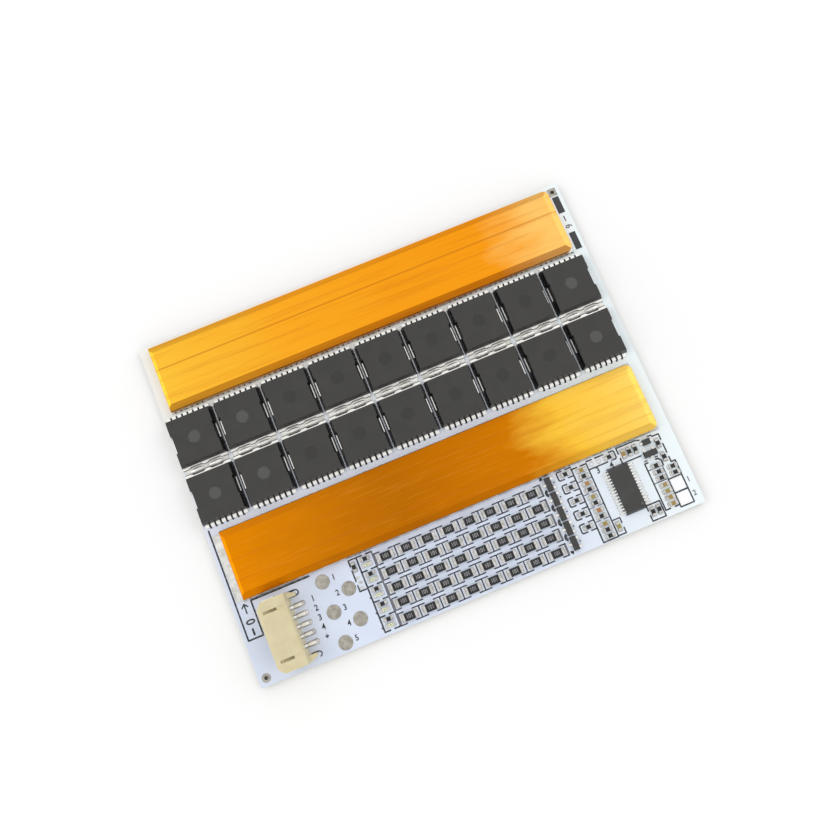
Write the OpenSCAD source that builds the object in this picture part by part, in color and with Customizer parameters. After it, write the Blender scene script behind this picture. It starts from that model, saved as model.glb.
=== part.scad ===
// Battery management board: a white circuit board with two rows of power
// transistors between two thick copper busbars. The cell connector, the
// balancing resistors and the controller lie along its near edge.
// The origin is the centre of the board's underside. +X runs along the
// busbars, +Y away from the cell connector and +Z up. All sizes are in mm.

/* [Board] */
// Least length along the busbars: the board grows where its parts need more
board_length = 96.5; // [70:0.5:140]
// Width across the busbars, which fill what the other rows leave
board_width = 74.5; // [62:0.5:110]
// Thickness of the glass-fibre board
board_thickness = 1.6; // [0.8:0.1:3.2]
// Radius of the board's corners
board_corner = 0.4; // [0.1:0.1:2]
// Cells in series: each has a pin, a test pad, a lamp and a balancing row
cells = 5; // [3:1:7]

/* [Wire holes] */
// Radius inside the lining
wire_hole_radius = 0.4; // [0.25:0.05:0.8]
// Thickness of the copper and solder that line the hole
hole_lining = 0.16; // [0.16:0.01:0.3]
// Thickness of the tinned land on each face
land_thickness = 0.06; // [0.03:0.01:0.15]
// Width of tinned land around the hole
land_width = 0.5; // [0.3:0.05:0.9]
// Distance of each hole from the two edges at its corner
wire_hole_inset = 1.6; // [1.4:0.05:2.2]

/* [Busbars] */
// Thickness of the copper bars
bar_thickness = 2.0; // [0.8:0.1:4]
// Width of the band that slopes down to each upper edge
bar_band = 1.4; // [0.6:0.1:3]
// How far the band drops across its width
bar_band_drop = 0.5; // [0.1:0.05:0.8]
// Width of the band at the sawn left end
bar_sawn_band = 0.7; // [0.6:0.1:3]
// Radius between a band and the side below it
bar_edge_radius = 0.3; // [0.1:0.05:0.4]
// Radius of the two corners at the right end
bar_corner_radius = 1.6; // [0.2:0.1:4]
// Solder between a bar and the board
bar_solder = 0.15; // [0.05:0.01:0.3]
// How far the solder shows around a bar
bar_solder_reach = 0.3; // [0.1:0.05:0.6]
// How high the solder climbs on the side of a bar
bar_solder_rise = 0.45; // [0.35:0.05:0.7]
// Board left of the charge bar
charge_bar_left = 2.3; // [1.5:0.1:10]
// Board right of the charge bar
charge_bar_right = 3.0; // [2.8:0.1:10]
// Board left of the battery bar
battery_bar_left = 3.0; // [2.8:0.1:10]
// Board right of the battery bar
battery_bar_right = 2.7; // [1.5:0.1:10]
// Bare tinned strip left of the battery bar
battery_land_reach = 1.85; // [0.5:0.05:2.2]
// Board beyond the charge bar, at the far edge
bar_far_margin = 1.1; // [0.6:0.1:5]
// Gap between the component strip and the battery bar
bar_strip_gap = 0.6; // [0.4:0.1:3]
// Gap between the battery bar and the lead tips
battery_bar_lead_gap = 1.7; // [0.6:0.05:4]
// Gap between the charge bar and the lead tips
charge_bar_lead_gap = 0.85; // [0.6:0.05:4]

/* [Power transistors] */
// Transistors in each of the two rows
transistors_per_row = 9; // [1:1:9]
// Width of the moulded body, along the row
package_width = 9.9; // [7:0.1:13]
// Length of the moulded body, lead side to tab side
package_length = 10.38; // [8:0.02:13]
// Height of the moulded body
package_height = 2.3; // [1.4:0.1:4]
// Inset of the top face on each side, from the mould's draft
package_draft = 0.35; // [0.1:0.05:0.6]
// Gap between neighbours in a row
package_gap = 0.67; // [0.4:0.01:3]
// Gap between the bodies of the two rows
row_gap = 2.2; // [1.8:0.1:6]
// Thickness of the leadframe
frame_thickness = 0.5; // [0.3:0.05:0.8]
// Pitch of the leads
lead_pitch = 1.2; // [1:0.05:2]
// Width of one lead
lead_width = 0.8; // [0.5:0.05:0.9]
// How far a lead stands out of the body
lead_reach = 0.7; // [0.4:0.05:1.2]
// How far the drain tab stands out of the body
tab_reach = 0.65; // [0.5:0.05:0.85]
// Length of each solder notch in the tab's edge
tab_notch_length = 2.7; // [1.5:0.1:3]
// Depth of the solder notches
tab_notch_depth = 0.3; // [0.1:0.05:0.4]
// Distance between the two solder notches
tab_notch_pitch = 4.1; // [3.6:0.1:4.6]
// Board left of the rows
row_left_margin = 0.25; // [0.2:0.05:10]
// Least board right of the rows
row_right_margin = 1.0; // [0.5:0.1:10]

/* [Cell connector] */
// Pitch of the pins
connector_pitch = 2.0; // [1.5:0.05:3]
// Housing beyond the first and last pin
connector_end = 3.2; // [3:0.1:5]
// Height of the housing
connector_height = 5.5; // [4.8:0.1:8]
// Depth of the housing, mouth to rear face
connector_depth = 5.9; // [5.5:0.1:9]
// Distance of the mouth from the board's left edge
connector_setback = 5.45; // [1:0.05:8]
// Roof and floor thickness of the housing
connector_wall = 0.75; // [0.5:0.05:1.2]
// Thickness of the end walls
connector_side_wall = 1.6; // [1.4:0.05:2]
// Thickness of the wall that holds the pins
connector_back_wall = 1.3; // [1:0.05:2]
// Side of a square pin
pin_size = 0.5; // [0.4:0.02:0.7]
// How far a pin's tail runs past the rear face
tail_reach = 2.0; // [1:0.1:2.6]

/* [Cell rows] */
// Gap between neighbouring balancing transistors, which sets the row pitch
cell_gap = 0.3; // [0.2:0.05:1.5]
// Distance of the first balancing row from the near edge
first_row = 1.9; // [1.5:0.05:4]
// Balancing resistors beside each other in a row
resistors_per_row = 8; // [1:1:8]
// Gap between neighbouring balancing resistors, solder included
resistor_gap = 0.37; // [0.2:0.01:2]
// Length of a balancing resistor
resistor_length = 3.2; // [2.5:0.05:4]
// Width of a balancing resistor
resistor_width = 1.6; // [1:0.05:1.9]
// Height of a balancing resistor
resistor_height = 0.55; // [0.4:0.05:0.8]
// Width of a balancing resistor's metal ends
resistor_end = 0.5; // [0.3:0.05:0.7]
// Radius of the round test pads
test_pad_radius = 1.5; // [0.8:0.05:1.8]
// Height of the solder on a test pad
test_pad_rise = 0.14; // [0.06:0.01:0.3]

/* [Small chips] */
// Length of a small chip resistor, capacitor or lamp
chip_length = 1.6; // [1.2:0.05:2]
// Width of a small chip
chip_width = 0.8; // [0.6:0.05:1]
// Height of a small chip
chip_height = 0.45; // [0.3:0.05:0.8]
// Width of a small chip's metal ends
chip_end_width = 0.35; // [0.2:0.05:0.45]
// Thickness of the metal on every chip end
end_metal = 0.05; // [0.03:0.01:0.08]
// Height of a lamp's clear lens above its base
lamp_lens = 0.3; // [0.1:0.05:0.6]

/* [Small transistors] */
// Width of the body, between its lead sides
sot_width = 1.3; // [1:0.05:1.6]
// Length of the body
sot_length = 2.9; // [2.4:0.05:3.6]
// Height of the body
sot_height = 1.0; // [0.7:0.05:1.3]
// Width over the lead tips
sot_span = 2.4; // [2:0.05:3]

/* [Controller] */
// Width of the body, between its lead sides
controller_width = 4.4; // [3.6:0.1:5.3]
// Length of the body, along its leads
controller_length = 9.7; // [6:0.1:11.7]
// Height of the body
controller_height = 0.95; // [0.7:0.05:1.4]
// Width over the lead tips
controller_span = 6.4; // [6.2:0.1:7]
// Pitch of the leads
controller_pitch = 0.65; // [0.5:0.01:1]

/* [Hidden] */
$fn = 48;
// Overlap that joins or cuts cleanly
over = 0.01;
// Segments of a bent lead's corner
bend_steps = 4;

// --- Power transistor rows ---
package_pitch = package_width + package_gap;
package_half = package_length / 2;
row_length = transistors_per_row * package_pitch - package_gap;
row_block = 2 * (package_length + lead_reach) + row_gap;
// Leads in one package: as many as its width holds between two side walls
lead_side_wall = 0.3;
lead_count = floor((package_width - lead_width - 2 * lead_side_wall) / lead_pitch) + 1;
tab_width = package_width - 0.1;
// Recess in both long sides, where the drain's tie bars come to the surface,
// deeper than the draft so that it cuts into the top face
side_recess_length = 4.3;
side_recess_depth = package_draft + 0.27;
side_recess_slope = 0.3;
side_recess_y = -0.24;
tie_bar_length = 3.1;
tie_bar_inset = 0.1;
// Drain pad under the body, and the gap between it and the source bar
drain_pad_width = package_width - 1.7;
source_bar_width = 0.8;
source_bar_inset = 1.7;
drain_source_gap = 0.8;
ejector_radius = 1.35;
ejector_depth = 0.04;

// --- Component strip, along the near edge ---
solder_reach = 0.3;
small_solder_reach = 0.25;
cell_pitch = sot_length + cell_gap;
transistor_rise = 0.55;
lamp_drop = 0.2;
lamp_resistor_rise = 1.05;
rows_top = first_row + transistor_rise + (cells - 1) * cell_pitch + sot_length / 2;
connector_width = (cells - 1) * connector_pitch + 2 * connector_end;
hold_down_reach = 0.3;
connector_margin = 0.8;
connector_y = max(
    first_row + (cells - 1) * cell_pitch / 2 + 0.05,
    connector_width / 2 + hold_down_reach + connector_margin
);
// Chips below and above the controller
near_chip_row = 2.2;
controller_chip_gap = 0.3;
chip_half = chip_length / 2 + small_solder_reach;
controller_y = near_chip_row + chip_half + controller_chip_gap + 0.05 + controller_length / 2;
controller_top = controller_y + controller_length / 2;
upper_chip_row = controller_top + 0.8 + chip_half;
// The diode is the highest small part of the right-hand corner
strip_top = max(
    rows_top,
    connector_y + connector_width / 2 + hold_down_reach,
    upper_chip_row + chip_half
);
strip_depth = strip_top + bar_strip_gap;

// --- Places along the strip, from the left edge ---
pad_column = connector_setback + connector_depth + 7.3;
pad_column_step = 4.45;
lamp_column = pad_column + pad_column_step + 5.15;
resistor_column = lamp_column + 4.15;
resistor_pitch = resistor_length + 2 * solder_reach + 0.4 + resistor_gap;
array_end = resistor_column + (resistors_per_row - 1) * resistor_pitch
    + resistor_length / 2 + solder_reach + 0.3;

// --- Places along the strip, from the right edge ---
transistor_column = 28.0;
base_resistor_column = 24.1;
filter_column = 20.75;
controller_column = 13.75;
strip_gap = 0.5;
strip_length = array_end + strip_gap + transistor_column + sot_span / 2;

// --- Board and bars ---
length = max(board_length, row_left_margin + row_length + row_right_margin, strip_length);
width = board_width;
top = board_thickness;
bar_width = (width - strip_depth - bar_far_margin - row_block
    - battery_bar_lead_gap - charge_bar_lead_gap) / 2;
battery_bar_y = strip_depth;
row_axis_y = strip_depth + bar_width + battery_bar_lead_gap + row_block / 2;
charge_bar_y = width - bar_far_margin - bar_width;
bar_rise = bar_solder + bar_thickness;

// A point given from the board's near left or near right corner
function from_left(x, y) = [x - length / 2, y - width / 2];
function from_right(x, y) = [length / 2 - x, y - width / 2];
function row_y(cell) = first_row + cell * cell_pitch;

// Centres of the plated wire holes, at the near left and the far right corner
near_wire_hole = from_left(wire_hole_inset, wire_hole_inset);
far_wire_hole = from_right(wire_hole_inset, width - wire_hole_inset);
land_radius = wire_hole_radius + land_width;

// --- Chip places: [x, y, turn] ---
base_resistor_y = 4.35;
base_resistor_pitch = cell_pitch * 0.9;
filter_y = 2.4;
filter_pitch = cell_pitch - 0.28;
filter_step = 1.3;
chip_column_y = 2.15;
chip_column_pitch = 1.35;
sense_column = 6.3;
sense_y = 7.75;

// A chip place at p, turned by a right angle where it stands across the strip
function chip_at(p, turn = 0) = [p[0], p[1], turn];

resistor_places = concat(
    [for (cell = [0:cells - 1])
        chip_at(from_left(lamp_column, row_y(cell) + lamp_resistor_rise))],
    [chip_at(from_left(lamp_column - 2.65, row_y(cells - 1) + 0.3), 90)],
    [for (cell = [0:cells - 1])
        chip_at(from_right(base_resistor_column, base_resistor_y + cell * base_resistor_pitch))],
    [chip_at(from_right(filter_column, filter_y - filter_step))],
    [for (cell = [0:cells - 1])
        chip_at(from_right(filter_column, filter_y + cell * filter_pitch))],
    [chip_at(from_right(controller_column + 0.65, upper_chip_row + 0.55))],
    [for (x = [10.1, 8.75]) chip_at(from_right(x, upper_chip_row), 90)],
    [for (x = [10.75, 9.4]) chip_at(from_right(x, near_chip_row), 90)],
    [for (y = [14.5, 11.5]) chip_at(from_right(3.95, y), 90)],
    [for (step = [0:2]) chip_at(from_right(sense_column, sense_y + step * chip_column_pitch))],
    [for (step = [0:1]) chip_at(from_right(3.2, sense_y + step * chip_column_pitch))]
);

capacitor_places = concat(
    [for (cell = [0:cells - 1])
        chip_at(from_right(filter_column, filter_y + filter_step + cell * filter_pitch))],
    [chip_at(from_right(11.35, upper_chip_row), 90)],
    [chip_at(from_right(18.35, near_chip_row - 0.1), 90)],
    [for (step = [0:3])
        chip_at(from_right(sense_column, chip_column_y + step * chip_column_pitch))]
);

// --- Nodes ---
ROWS = ["charge", "discharge"];

// ---------------------------------------------------------------------------
// Shared forms
// ---------------------------------------------------------------------------

// Puts its children on the board's top face at p
module on_board(p) {
    translate([p[0], p[1], top]) children();
}

// Extrudes an outline drawn in x and z over a width centred on y
module across(w) {
    rotate([90, 0, 0]) linear_extrude(height = w, center = true) children();
}

// A moulded block: straight sides up to the parting line, drafted above and,
// by foot, below it
module moulded_block(w, l, h, line, inset, foot = 0) {
    intersection() {
        across(l + 1) block_outline(w, h, line, inset, foot);
        rotate([0, 0, 90]) across(w + 1) block_outline(l, h, line, inset, foot);
    }
}

module block_outline(w, h, line, inset, foot) {
    polygon([
        [-w / 2 + foot, 0], [w / 2 - foot, 0], [w / 2, line],
        [w / 2 - inset, h], [-w / 2 + inset, h], [-w / 2, line]
    ]);
}

function unit(v) = v / norm(v);
function left_of(v) = [-v[1], v[0]];

// The bend at b on the way from a to c, on the side that lies s to the left
function bend_points(a, b, c, r, s) =
    let (
        u = unit(b - a),
        v = unit(c - b),
        turn = atan2(u[0] * v[1] - u[1] * v[0], u * v),
        hand = sign(turn),
        centre = b - r * tan(abs(turn) / 2) * u + hand * r * left_of(u),
        start = atan2(-hand * left_of(u)[1], -hand * left_of(u)[0])
    )
    [for (k = [0:bend_steps])
        let (angle = start + turn * k / bend_steps)
        centre + (r - hand * s) * [cos(angle), sin(angle)]];

function strip_side(path, r, s) =
    let (last = len(path) - 1)
    concat(
        [path[0] + s * left_of(unit(path[1] - path[0]))],
        [for (i = [1:last - 1]) each bend_points(path[i - 1], path[i], path[i + 1], r, s)],
        [path[last] + s * left_of(unit(path[last] - path[last - 1]))]
    );

function reversed(list) = [for (i = [len(list) - 1:-1:0]) list[i]];

// The outline of a metal strip of thickness t bent along a path, with the
// bend radius r at its middle line
function strip_outline(path, t, r) =
    concat(strip_side(path, r, t / 2), reversed(strip_side(path, r, -t / 2)));

// A gull-wing lead that leaves a body at x = inner and height exit, and whose
// foot ends at x = tip
module gull_lead(inner, tip, exit, foot, t, w) {
    shoulder = inner + t + 0.08;
    across(w) polygon(strip_outline(
        [[inner - 0.15, exit], [shoulder, exit], [tip - foot, t / 2], [tip, t / 2]],
        t, t * 0.8
    ));
}

// ---------------------------------------------------------------------------
// Board
// ---------------------------------------------------------------------------

module rounded_outline(l, w, r) {
    square([l - 2 * r, w], center = true);
    square([l, w - 2 * r], center = true);
    for (x = [-1, 1], y = [-1, 1])
        translate([x * (l / 2 - r), y * (w / 2 - r)]) circle(r);
}

module wire_hole_at(p, extra) {
    translate([p[0], p[1], -over])
        cylinder(r = wire_hole_radius + extra, h = top + 1 + 2 * over);
}

module circuit_board() {
    color("whitesmoke") difference() {
        linear_extrude(height = board_thickness) rounded_outline(length, width, board_corner);
        wire_hole_at(near_wire_hole, hole_lining);
        wire_hole_at(far_wire_hole, hole_lining);
        for (p = [near_wire_hole, far_wire_hole])
            translate([p[0], p[1], -over]) cylinder(r = land_radius, h = land_thickness + over);
    }
}

// One plated hole: a barrel with a land on top and one let into the underside
module plated_hole(p, square_land) {
    difference() {
        union() {
            translate([p[0], p[1], 0]) cylinder(r = wire_hole_radius + hole_lining, h = top);
            translate([p[0], p[1], 0]) cylinder(r = land_radius, h = land_thickness);
            if (square_land)
                translate([p[0] - land_radius, p[1] - land_radius, top])
                    cube([2 * land_radius, 2 * land_radius, land_thickness]);
            else
                translate([p[0], p[1], top]) cylinder(r = land_radius, h = land_thickness);
        }
        wire_hole_at(p, 0);
    }
}

// A round land under a low dome of solder
module test_pad() {
    rotate_extrude() polygon(concat(
        [[0, 0], [test_pad_radius, 0]],
        [for (angle = [15:15:90])
            [test_pad_radius * cos(angle), land_thickness
                + (test_pad_rise - land_thickness) * sin(angle)]]
    ));
}

module tinned_pads() {
    color("silver") {
        plated_hole(near_wire_hole, false);
        plated_hole(far_wire_hole, true);
        for (cell = [0:cells - 1])
            on_board(from_left(pad_column + (cell % 2) * pad_column_step, row_y(cell)))
                test_pad();
    }
}

// ---------------------------------------------------------------------------
// Busbars
// ---------------------------------------------------------------------------

bar_slope = atan(bar_band_drop / bar_band);

// Height at which the side ends and the rounding to a band of that width starts
function shoulder(band) = bar_thickness - (band - bar_edge_radius) * tan(bar_slope)
    - bar_edge_radius / cos(bar_slope);

// A bar's section: straight sides, rounded over to a band that rises to the top
module bar_section(w, first_band, last_band) {
    foot = bar_edge_radius * (1 - sin(bar_slope));
    rise = bar_edge_radius * cos(bar_slope);
    polygon([
        [0, 0], [w, 0], [w, shoulder(last_band)],
        [w - foot, shoulder(last_band) + rise], [w - last_band, bar_thickness],
        [first_band, bar_thickness], [foot, shoulder(first_band) + rise],
        [0, shoulder(first_band)]
    ]);
    translate([bar_edge_radius, shoulder(first_band)]) circle(bar_edge_radius);
    translate([w - bar_edge_radius, shoulder(last_band)]) circle(bar_edge_radius);
}

// The bar seen from above: square at the left end, rounded at the right
module bar_outline(l, w, r) {
    square([l - r, w]);
    translate([0, r]) square([l, w - 2 * r]);
    for (y = [r, w - r]) translate([l - r, y]) circle(r);
}

// A bar that starts left of the board's edge by left and ends right before it
module busbar(left, right, y) {
    bar_length = length - left - right;
    on_board(from_left(left, y)) translate([0, 0, bar_solder]) intersection() {
        rotate([90, 0, 90]) linear_extrude(height = bar_length)
            bar_section(bar_width, bar_band, bar_band);
        translate([0, bar_width / 2]) across(bar_width + 1)
            bar_section(bar_length, bar_sawn_band, bar_band);
        linear_extrude(height = bar_thickness + 1)
            bar_outline(bar_length, bar_width, bar_corner_radius);
    }
}

module charge_busbar() {
    color("darkorange") busbar(charge_bar_left, charge_bar_right, charge_bar_y);
}

module battery_busbar() {
    color("darkorange") busbar(battery_bar_left, battery_bar_right, battery_bar_y);
}

// The solder under a bar, with a fillet that climbs its sides
module bar_bed(left, right, y) {
    bar_length = length - left - right;
    on_board(from_left(left + bar_length / 2, y + bar_width / 2))
        moulded_block(
            bar_length + 2 * bar_solder_reach, bar_width + 2 * bar_solder_reach,
            bar_solder_rise, 0.04, bar_solder_reach - 0.04
        );
}

module busbar_solder() {
    color("gainsboro") {
        difference() {
            bar_bed(charge_bar_left, charge_bar_right, charge_bar_y);
            busbar(charge_bar_left, charge_bar_right, charge_bar_y);
        }
        difference() {
            union() {
                bar_bed(battery_bar_left, battery_bar_right, battery_bar_y);
                on_board(from_left(battery_bar_left - battery_land_reach, battery_bar_y + 0.2))
                    cube([battery_land_reach, bar_width - 0.4, bar_solder]);
            }
            busbar(battery_bar_left, battery_bar_right, battery_bar_y);
        }
    }
}

// ---------------------------------------------------------------------------
// Power transistors, drawn with their leads towards +Y
// ---------------------------------------------------------------------------

// Puts its children at place i of a row; the discharge row is turned round
module in_row(row, i) {
    side = row == "charge" ? 1 : -1;
    x = row_left_margin + package_width / 2 + (i - 1) * package_pitch;
    on_board(from_left(x, row_axis_y + side * (row_gap / 2 + package_half)))
        rotate([0, 0, side > 0 ? 0 : 180]) children();
}

// Notch with sloping ends in the outer edge of the drain tab
module tab_notch() {
    slope = 0.25;
    polygon([
        [-tab_notch_length / 2 - slope, -over], [tab_notch_length / 2 + slope, -over],
        [tab_notch_length / 2 - slope, tab_notch_depth],
        [-tab_notch_length / 2 + slope, tab_notch_depth]
    ]);
}

// The drain: tab, exposed pad and the two tie bars at its sides
module drain_outline() {
    tab_edge = -package_half - tab_reach;
    pad_end = package_half - source_bar_inset - drain_source_gap;
    difference() {
        union() {
            translate([-tab_width / 2, tab_edge]) square([tab_width, tab_reach + 1.1]);
            translate([-drain_pad_width / 2, -package_half])
                square([drain_pad_width, package_half + pad_end]);
            translate([0, side_recess_y]) square([
                package_width - 2 * tie_bar_inset, tie_bar_length
            ], center = true);
        }
        for (side = [-1, 1])
            translate([side * tab_notch_pitch / 2, tab_edge]) tab_notch();
    }
}

function lead_x(i) = (i - (lead_count - 1) / 2) * lead_pitch;

module lead_outline(i) {
    translate([lead_x(i) - lead_width / 2, package_half - source_bar_inset])
        square([lead_width, source_bar_inset + lead_reach]);
}

// The source: all the leads but the first, joined by a bar inside the body
module source_outline() {
    for (i = [1:lead_count - 1]) lead_outline(i);
    translate([lead_x(1) - lead_width / 2, package_half - source_bar_inset])
        square([lead_x(lead_count - 1) - lead_x(1) + lead_width, source_bar_width]);
}

module mosfet_leadframe() {
    linear_extrude(height = frame_thickness) drain_outline();
    linear_extrude(height = frame_thickness) lead_outline(0);
    linear_extrude(height = frame_thickness) source_outline();
}

module side_recess() {
    half = side_recess_length / 2;
    foot = half - side_recess_slope;
    translate([0, 0, -over]) linear_extrude(height = package_height + 1) polygon([
        [-side_recess_depth, -foot], [0, -half], [side_recess_depth, -foot],
        [side_recess_depth, foot], [0, half], [-side_recess_depth, foot]
    ]);
}

module mosfet_body() {
    difference() {
        moulded_block(package_width, package_length, package_height, frame_thickness, package_draft);
        mosfet_leadframe();
        for (side = [-1, 1])
            translate([side * package_width / 2, side_recess_y]) side_recess();
        translate([0, 0, package_height - ejector_depth])
            cylinder(r = ejector_radius, h = ejector_depth + 1);
    }
}

// Solder between the tabs of the two transistors of one column, hollow along
// its middle
module drain_joint() {
    reach = row_gap / 2 - tab_reach + tab_notch_depth;
    crest = frame_thickness * 0.8;
    sag = crest * 0.6;
    hollow_radius = (reach * reach + sag * sag) / (2 * sag);
    rotate([0, 0, 90]) across(tab_width - 0.4) difference() {
        translate([-reach, 0]) square([2 * reach, crest]);
        translate([0, crest - sag + hollow_radius]) circle(hollow_radius);
    }
}

module drain_solder() {
    color("gainsboro") for (i = [1:transistors_per_row]) difference() {
        on_board(from_left(
            row_left_margin + package_width / 2 + (i - 1) * package_pitch, row_axis_y
        )) drain_joint();
        for (row = ROWS) in_row(row, i)
            translate([0, 0, -over]) linear_extrude(height = frame_thickness + 1) drain_outline();
    }
}

// ---------------------------------------------------------------------------
// Cell connector, drawn with its mouth at x = 0, facing -X
// ---------------------------------------------------------------------------

connector_place = from_left(connector_setback, connector_y);
cavity_width = connector_width - 2 * connector_side_wall;
cavity_height = connector_height - 2 * connector_wall;
cavity_depth = connector_depth - connector_back_wall;
pin_height = connector_height / 2;
// Slots in the roof that catch the plug, just outside the end pins
slot_length = 2.8;
slot_width = 0.6;
slot_start = 1.0;
slot_y = (cells - 1) * connector_pitch / 2 + 0.9;
// Shallow groove from each slot to the rear face
slot_groove_depth = 0.12;
roof_bevel = 0.3;
roof_underside = connector_height - connector_wall;
// Chamfers beside the mouth
mouth_chamfer_depth = 1.1;
mouth_chamfer_width = 1.3;
// Groove behind each pin, and the bend of the pin inside it
groove_width = pin_size + 0.4;
groove_depth = 0.7;
// Arms at the foot of the rear face
arm_reach = 1.45;
arm_width = 1.25;
arm_tip_width = 0.6;
// Metal tabs let into the ends of the housing
hold_down_metal = 0.3;
hold_down_length = 2.5;
hold_down_start = 0.5;
hold_down_height = 3.0;
hold_down_depth = 0.9;

function pin_y(i) = (i - (cells - 1) / 2) * connector_pitch;

module housing_outline() {
    half = connector_width / 2;
    polygon([
        [0, -half + mouth_chamfer_width], [mouth_chamfer_depth, -half],
        [connector_depth, -half], [connector_depth, half],
        [mouth_chamfer_depth, half], [0, half - mouth_chamfer_width]
    ]);
}

// The housing from the side, with its upper rear edge bevelled
module housing_section() {
    polygon([
        [-over, 0], [connector_depth, 0], [connector_depth, connector_height - roof_bevel],
        [connector_depth - roof_bevel, connector_height], [-over, connector_height]
    ]);
}

// A low gusset behind one end of the housing, narrow and low at its tip
module rear_arm() {
    start = connector_depth - over;
    outer = connector_width / 2;
    intersection() {
        linear_extrude(height = connector_height) polygon([
            [start, outer - arm_width], [connector_depth + arm_reach, outer - arm_width],
            [connector_depth + arm_reach, outer - arm_width + arm_tip_width], [start, outer]
        ]);
        across(2 * connector_width) polygon([
            [start, 0], [connector_depth + arm_reach, 0],
            [connector_depth + arm_reach, 0.9], [start, 1.7]
        ]);
    }
}

module connector_pin() {
    across(pin_size) polygon(strip_outline(
        [[1.0, pin_height], [connector_depth - groove_depth / 2, pin_height],
         [connector_depth - groove_depth / 2, pin_size / 2],
         [connector_depth + tail_reach, pin_size / 2]],
        pin_size, pin_size * 0.7
    ));
}

module hold_down() {
    outer = connector_width / 2;
    inner = outer - hold_down_depth;
    translate([hold_down_start, inner, 0])
        cube([hold_down_length, hold_down_metal, hold_down_height]);
    translate([hold_down_start, inner, 0])
        cube([hold_down_length, hold_down_depth + hold_down_reach, hold_down_metal]);
}

// Both ends of the connector, the second as the mirror image of the first
module both_ends() {
    children();
    mirror([0, 1, 0]) children();
}

module connector_housing() {
    color("wheat") on_board(connector_place) difference() {
        union() {
            intersection() {
                linear_extrude(height = connector_height) housing_outline();
                across(connector_width + 1) housing_section();
            }
            both_ends() rear_arm();
        }
        translate([-over, -cavity_width / 2, connector_wall])
            cube([cavity_depth + over, cavity_width, cavity_height]);
        both_ends() translate([slot_start, slot_y - slot_width / 2, roof_underside - over])
            cube([slot_length, slot_width, connector_wall + 1]);
        both_ends() translate([slot_start + slot_length, slot_y - slot_width / 2, 0])
            translate([0, 0, connector_height - slot_groove_depth])
                cube([connector_depth, slot_width, 1]);
        for (i = [0:cells - 1]) translate([0, pin_y(i), 0]) {
            connector_pin();
            translate([connector_depth - groove_depth, -groove_width / 2, -over])
                cube([groove_depth + over, groove_width, pin_height + pin_size / 2 + 0.15]);
        }
        both_ends() hold_down();
    }
}

module connector_contacts() {
    color("silver") on_board(connector_place)
        for (i = [0:cells - 1]) translate([0, pin_y(i), 0]) connector_pin();
}

module connector_hold_downs() {
    color("silver") on_board(connector_place) both_ends() hold_down();
}

// ---------------------------------------------------------------------------
// Chips: a body between two metal ends with solder in front of them
// ---------------------------------------------------------------------------

// A chip body: let into the metal ends, with its face flush between them
module chip_core(l, w, h, e) {
    inner = l / 2 - end_metal;
    face = l / 2 - e;
    across(w) polygon([
        [-inner, end_metal], [inner, end_metal], [inner, h - end_metal],
        [face, h - end_metal], [face, h], [-face, h],
        [-face, h - end_metal], [-inner, h - end_metal]
    ]);
}

// The two metal ends of a chip, each with a hollow fillet of solder
module chip_ends_of(l, w, h, e, reach) {
    for (side = [0, 180]) rotate([0, 0, side]) across(w) difference() {
        union() {
            translate([l / 2 - e, 0]) square([e, h]);
            translate([l / 2, 0]) solder_fillet(reach, h * 0.7);
        }
        translate([l / 2 - e - over, end_metal])
            square([e - end_metal + over, h - 2 * end_metal]);
    }
}

// The section of a hollow fillet: reach along the board and climb up the part
module solder_fillet(reach, climb) {
    lip = 0.03;
    polygon(concat(
        [[-over, 0], [reach, 0]],
        [for (angle = [0:22.5:90])
            [reach * (1 - sin(angle)), lip + (climb - lip) * (1 - cos(angle))]],
        [[-over, climb]]
    ));
}

module place_chips(places) {
    for (p = places) on_board(p) rotate([0, 0, p[2]]) children();
}

balance_places = [
    for (cell = [0:cells - 1]) for (i = [0:resistors_per_row - 1])
        chip_at(from_left(resistor_column + i * resistor_pitch, row_y(cell)))
];

lamp_places = [
    for (cell = [0:cells - 1]) chip_at(from_left(lamp_column, row_y(cell) - lamp_drop))
];

module balance_resistor_cores() {
    color("dimgray") place_chips(balance_places)
        chip_core(resistor_length, resistor_width, resistor_height, resistor_end);
}

module balance_resistor_ends() {
    color("silver") place_chips(balance_places) chip_ends_of(
        resistor_length, resistor_width, resistor_height, resistor_end, solder_reach
    );
}

module chip_resistor_cores() {
    color("dimgray") place_chips(resistor_places)
        chip_core(chip_length, chip_width, chip_height, chip_end_width);
}

module chip_capacitor_cores() {
    color("peru") place_chips(capacitor_places)
        chip_core(chip_length, chip_width, chip_height, chip_end_width);
}

module chip_ends() {
    color("silver") place_chips(concat(resistor_places, capacitor_places)) chip_ends_of(
        chip_length, chip_width, chip_height, chip_end_width, small_solder_reach
    );
}

// A lamp: a flat base between the ends, and a clear lens with sloping sides
lamp_base = chip_height * 0.55;

module lamp_bodies() {
    lens_length = chip_length - 2 * chip_end_width + 0.1;
    color("ivory") place_chips(lamp_places) {
        chip_core(chip_length, chip_width, lamp_base, chip_end_width - 0.05);
        translate([0, 0, lamp_base - over])
            moulded_block(lens_length - 0.1, chip_width, lamp_lens + over, 0.08, 0.08);
    }
}

module lamp_ends() {
    color("silver") place_chips(lamp_places) chip_ends_of(
        chip_length, chip_width, lamp_base, chip_end_width - 0.05, small_solder_reach
    );
}

// ---------------------------------------------------------------------------
// Small transistors, the regulator, the diode and the controller
// ---------------------------------------------------------------------------

small_lead = 0.12;
small_standoff = 0.06;
sot_lead_width = 0.4;
sot_foot = 0.35;
sot_lead_pitch = 1.9;
sot_exit = small_standoff + sot_height * 0.5;

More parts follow.
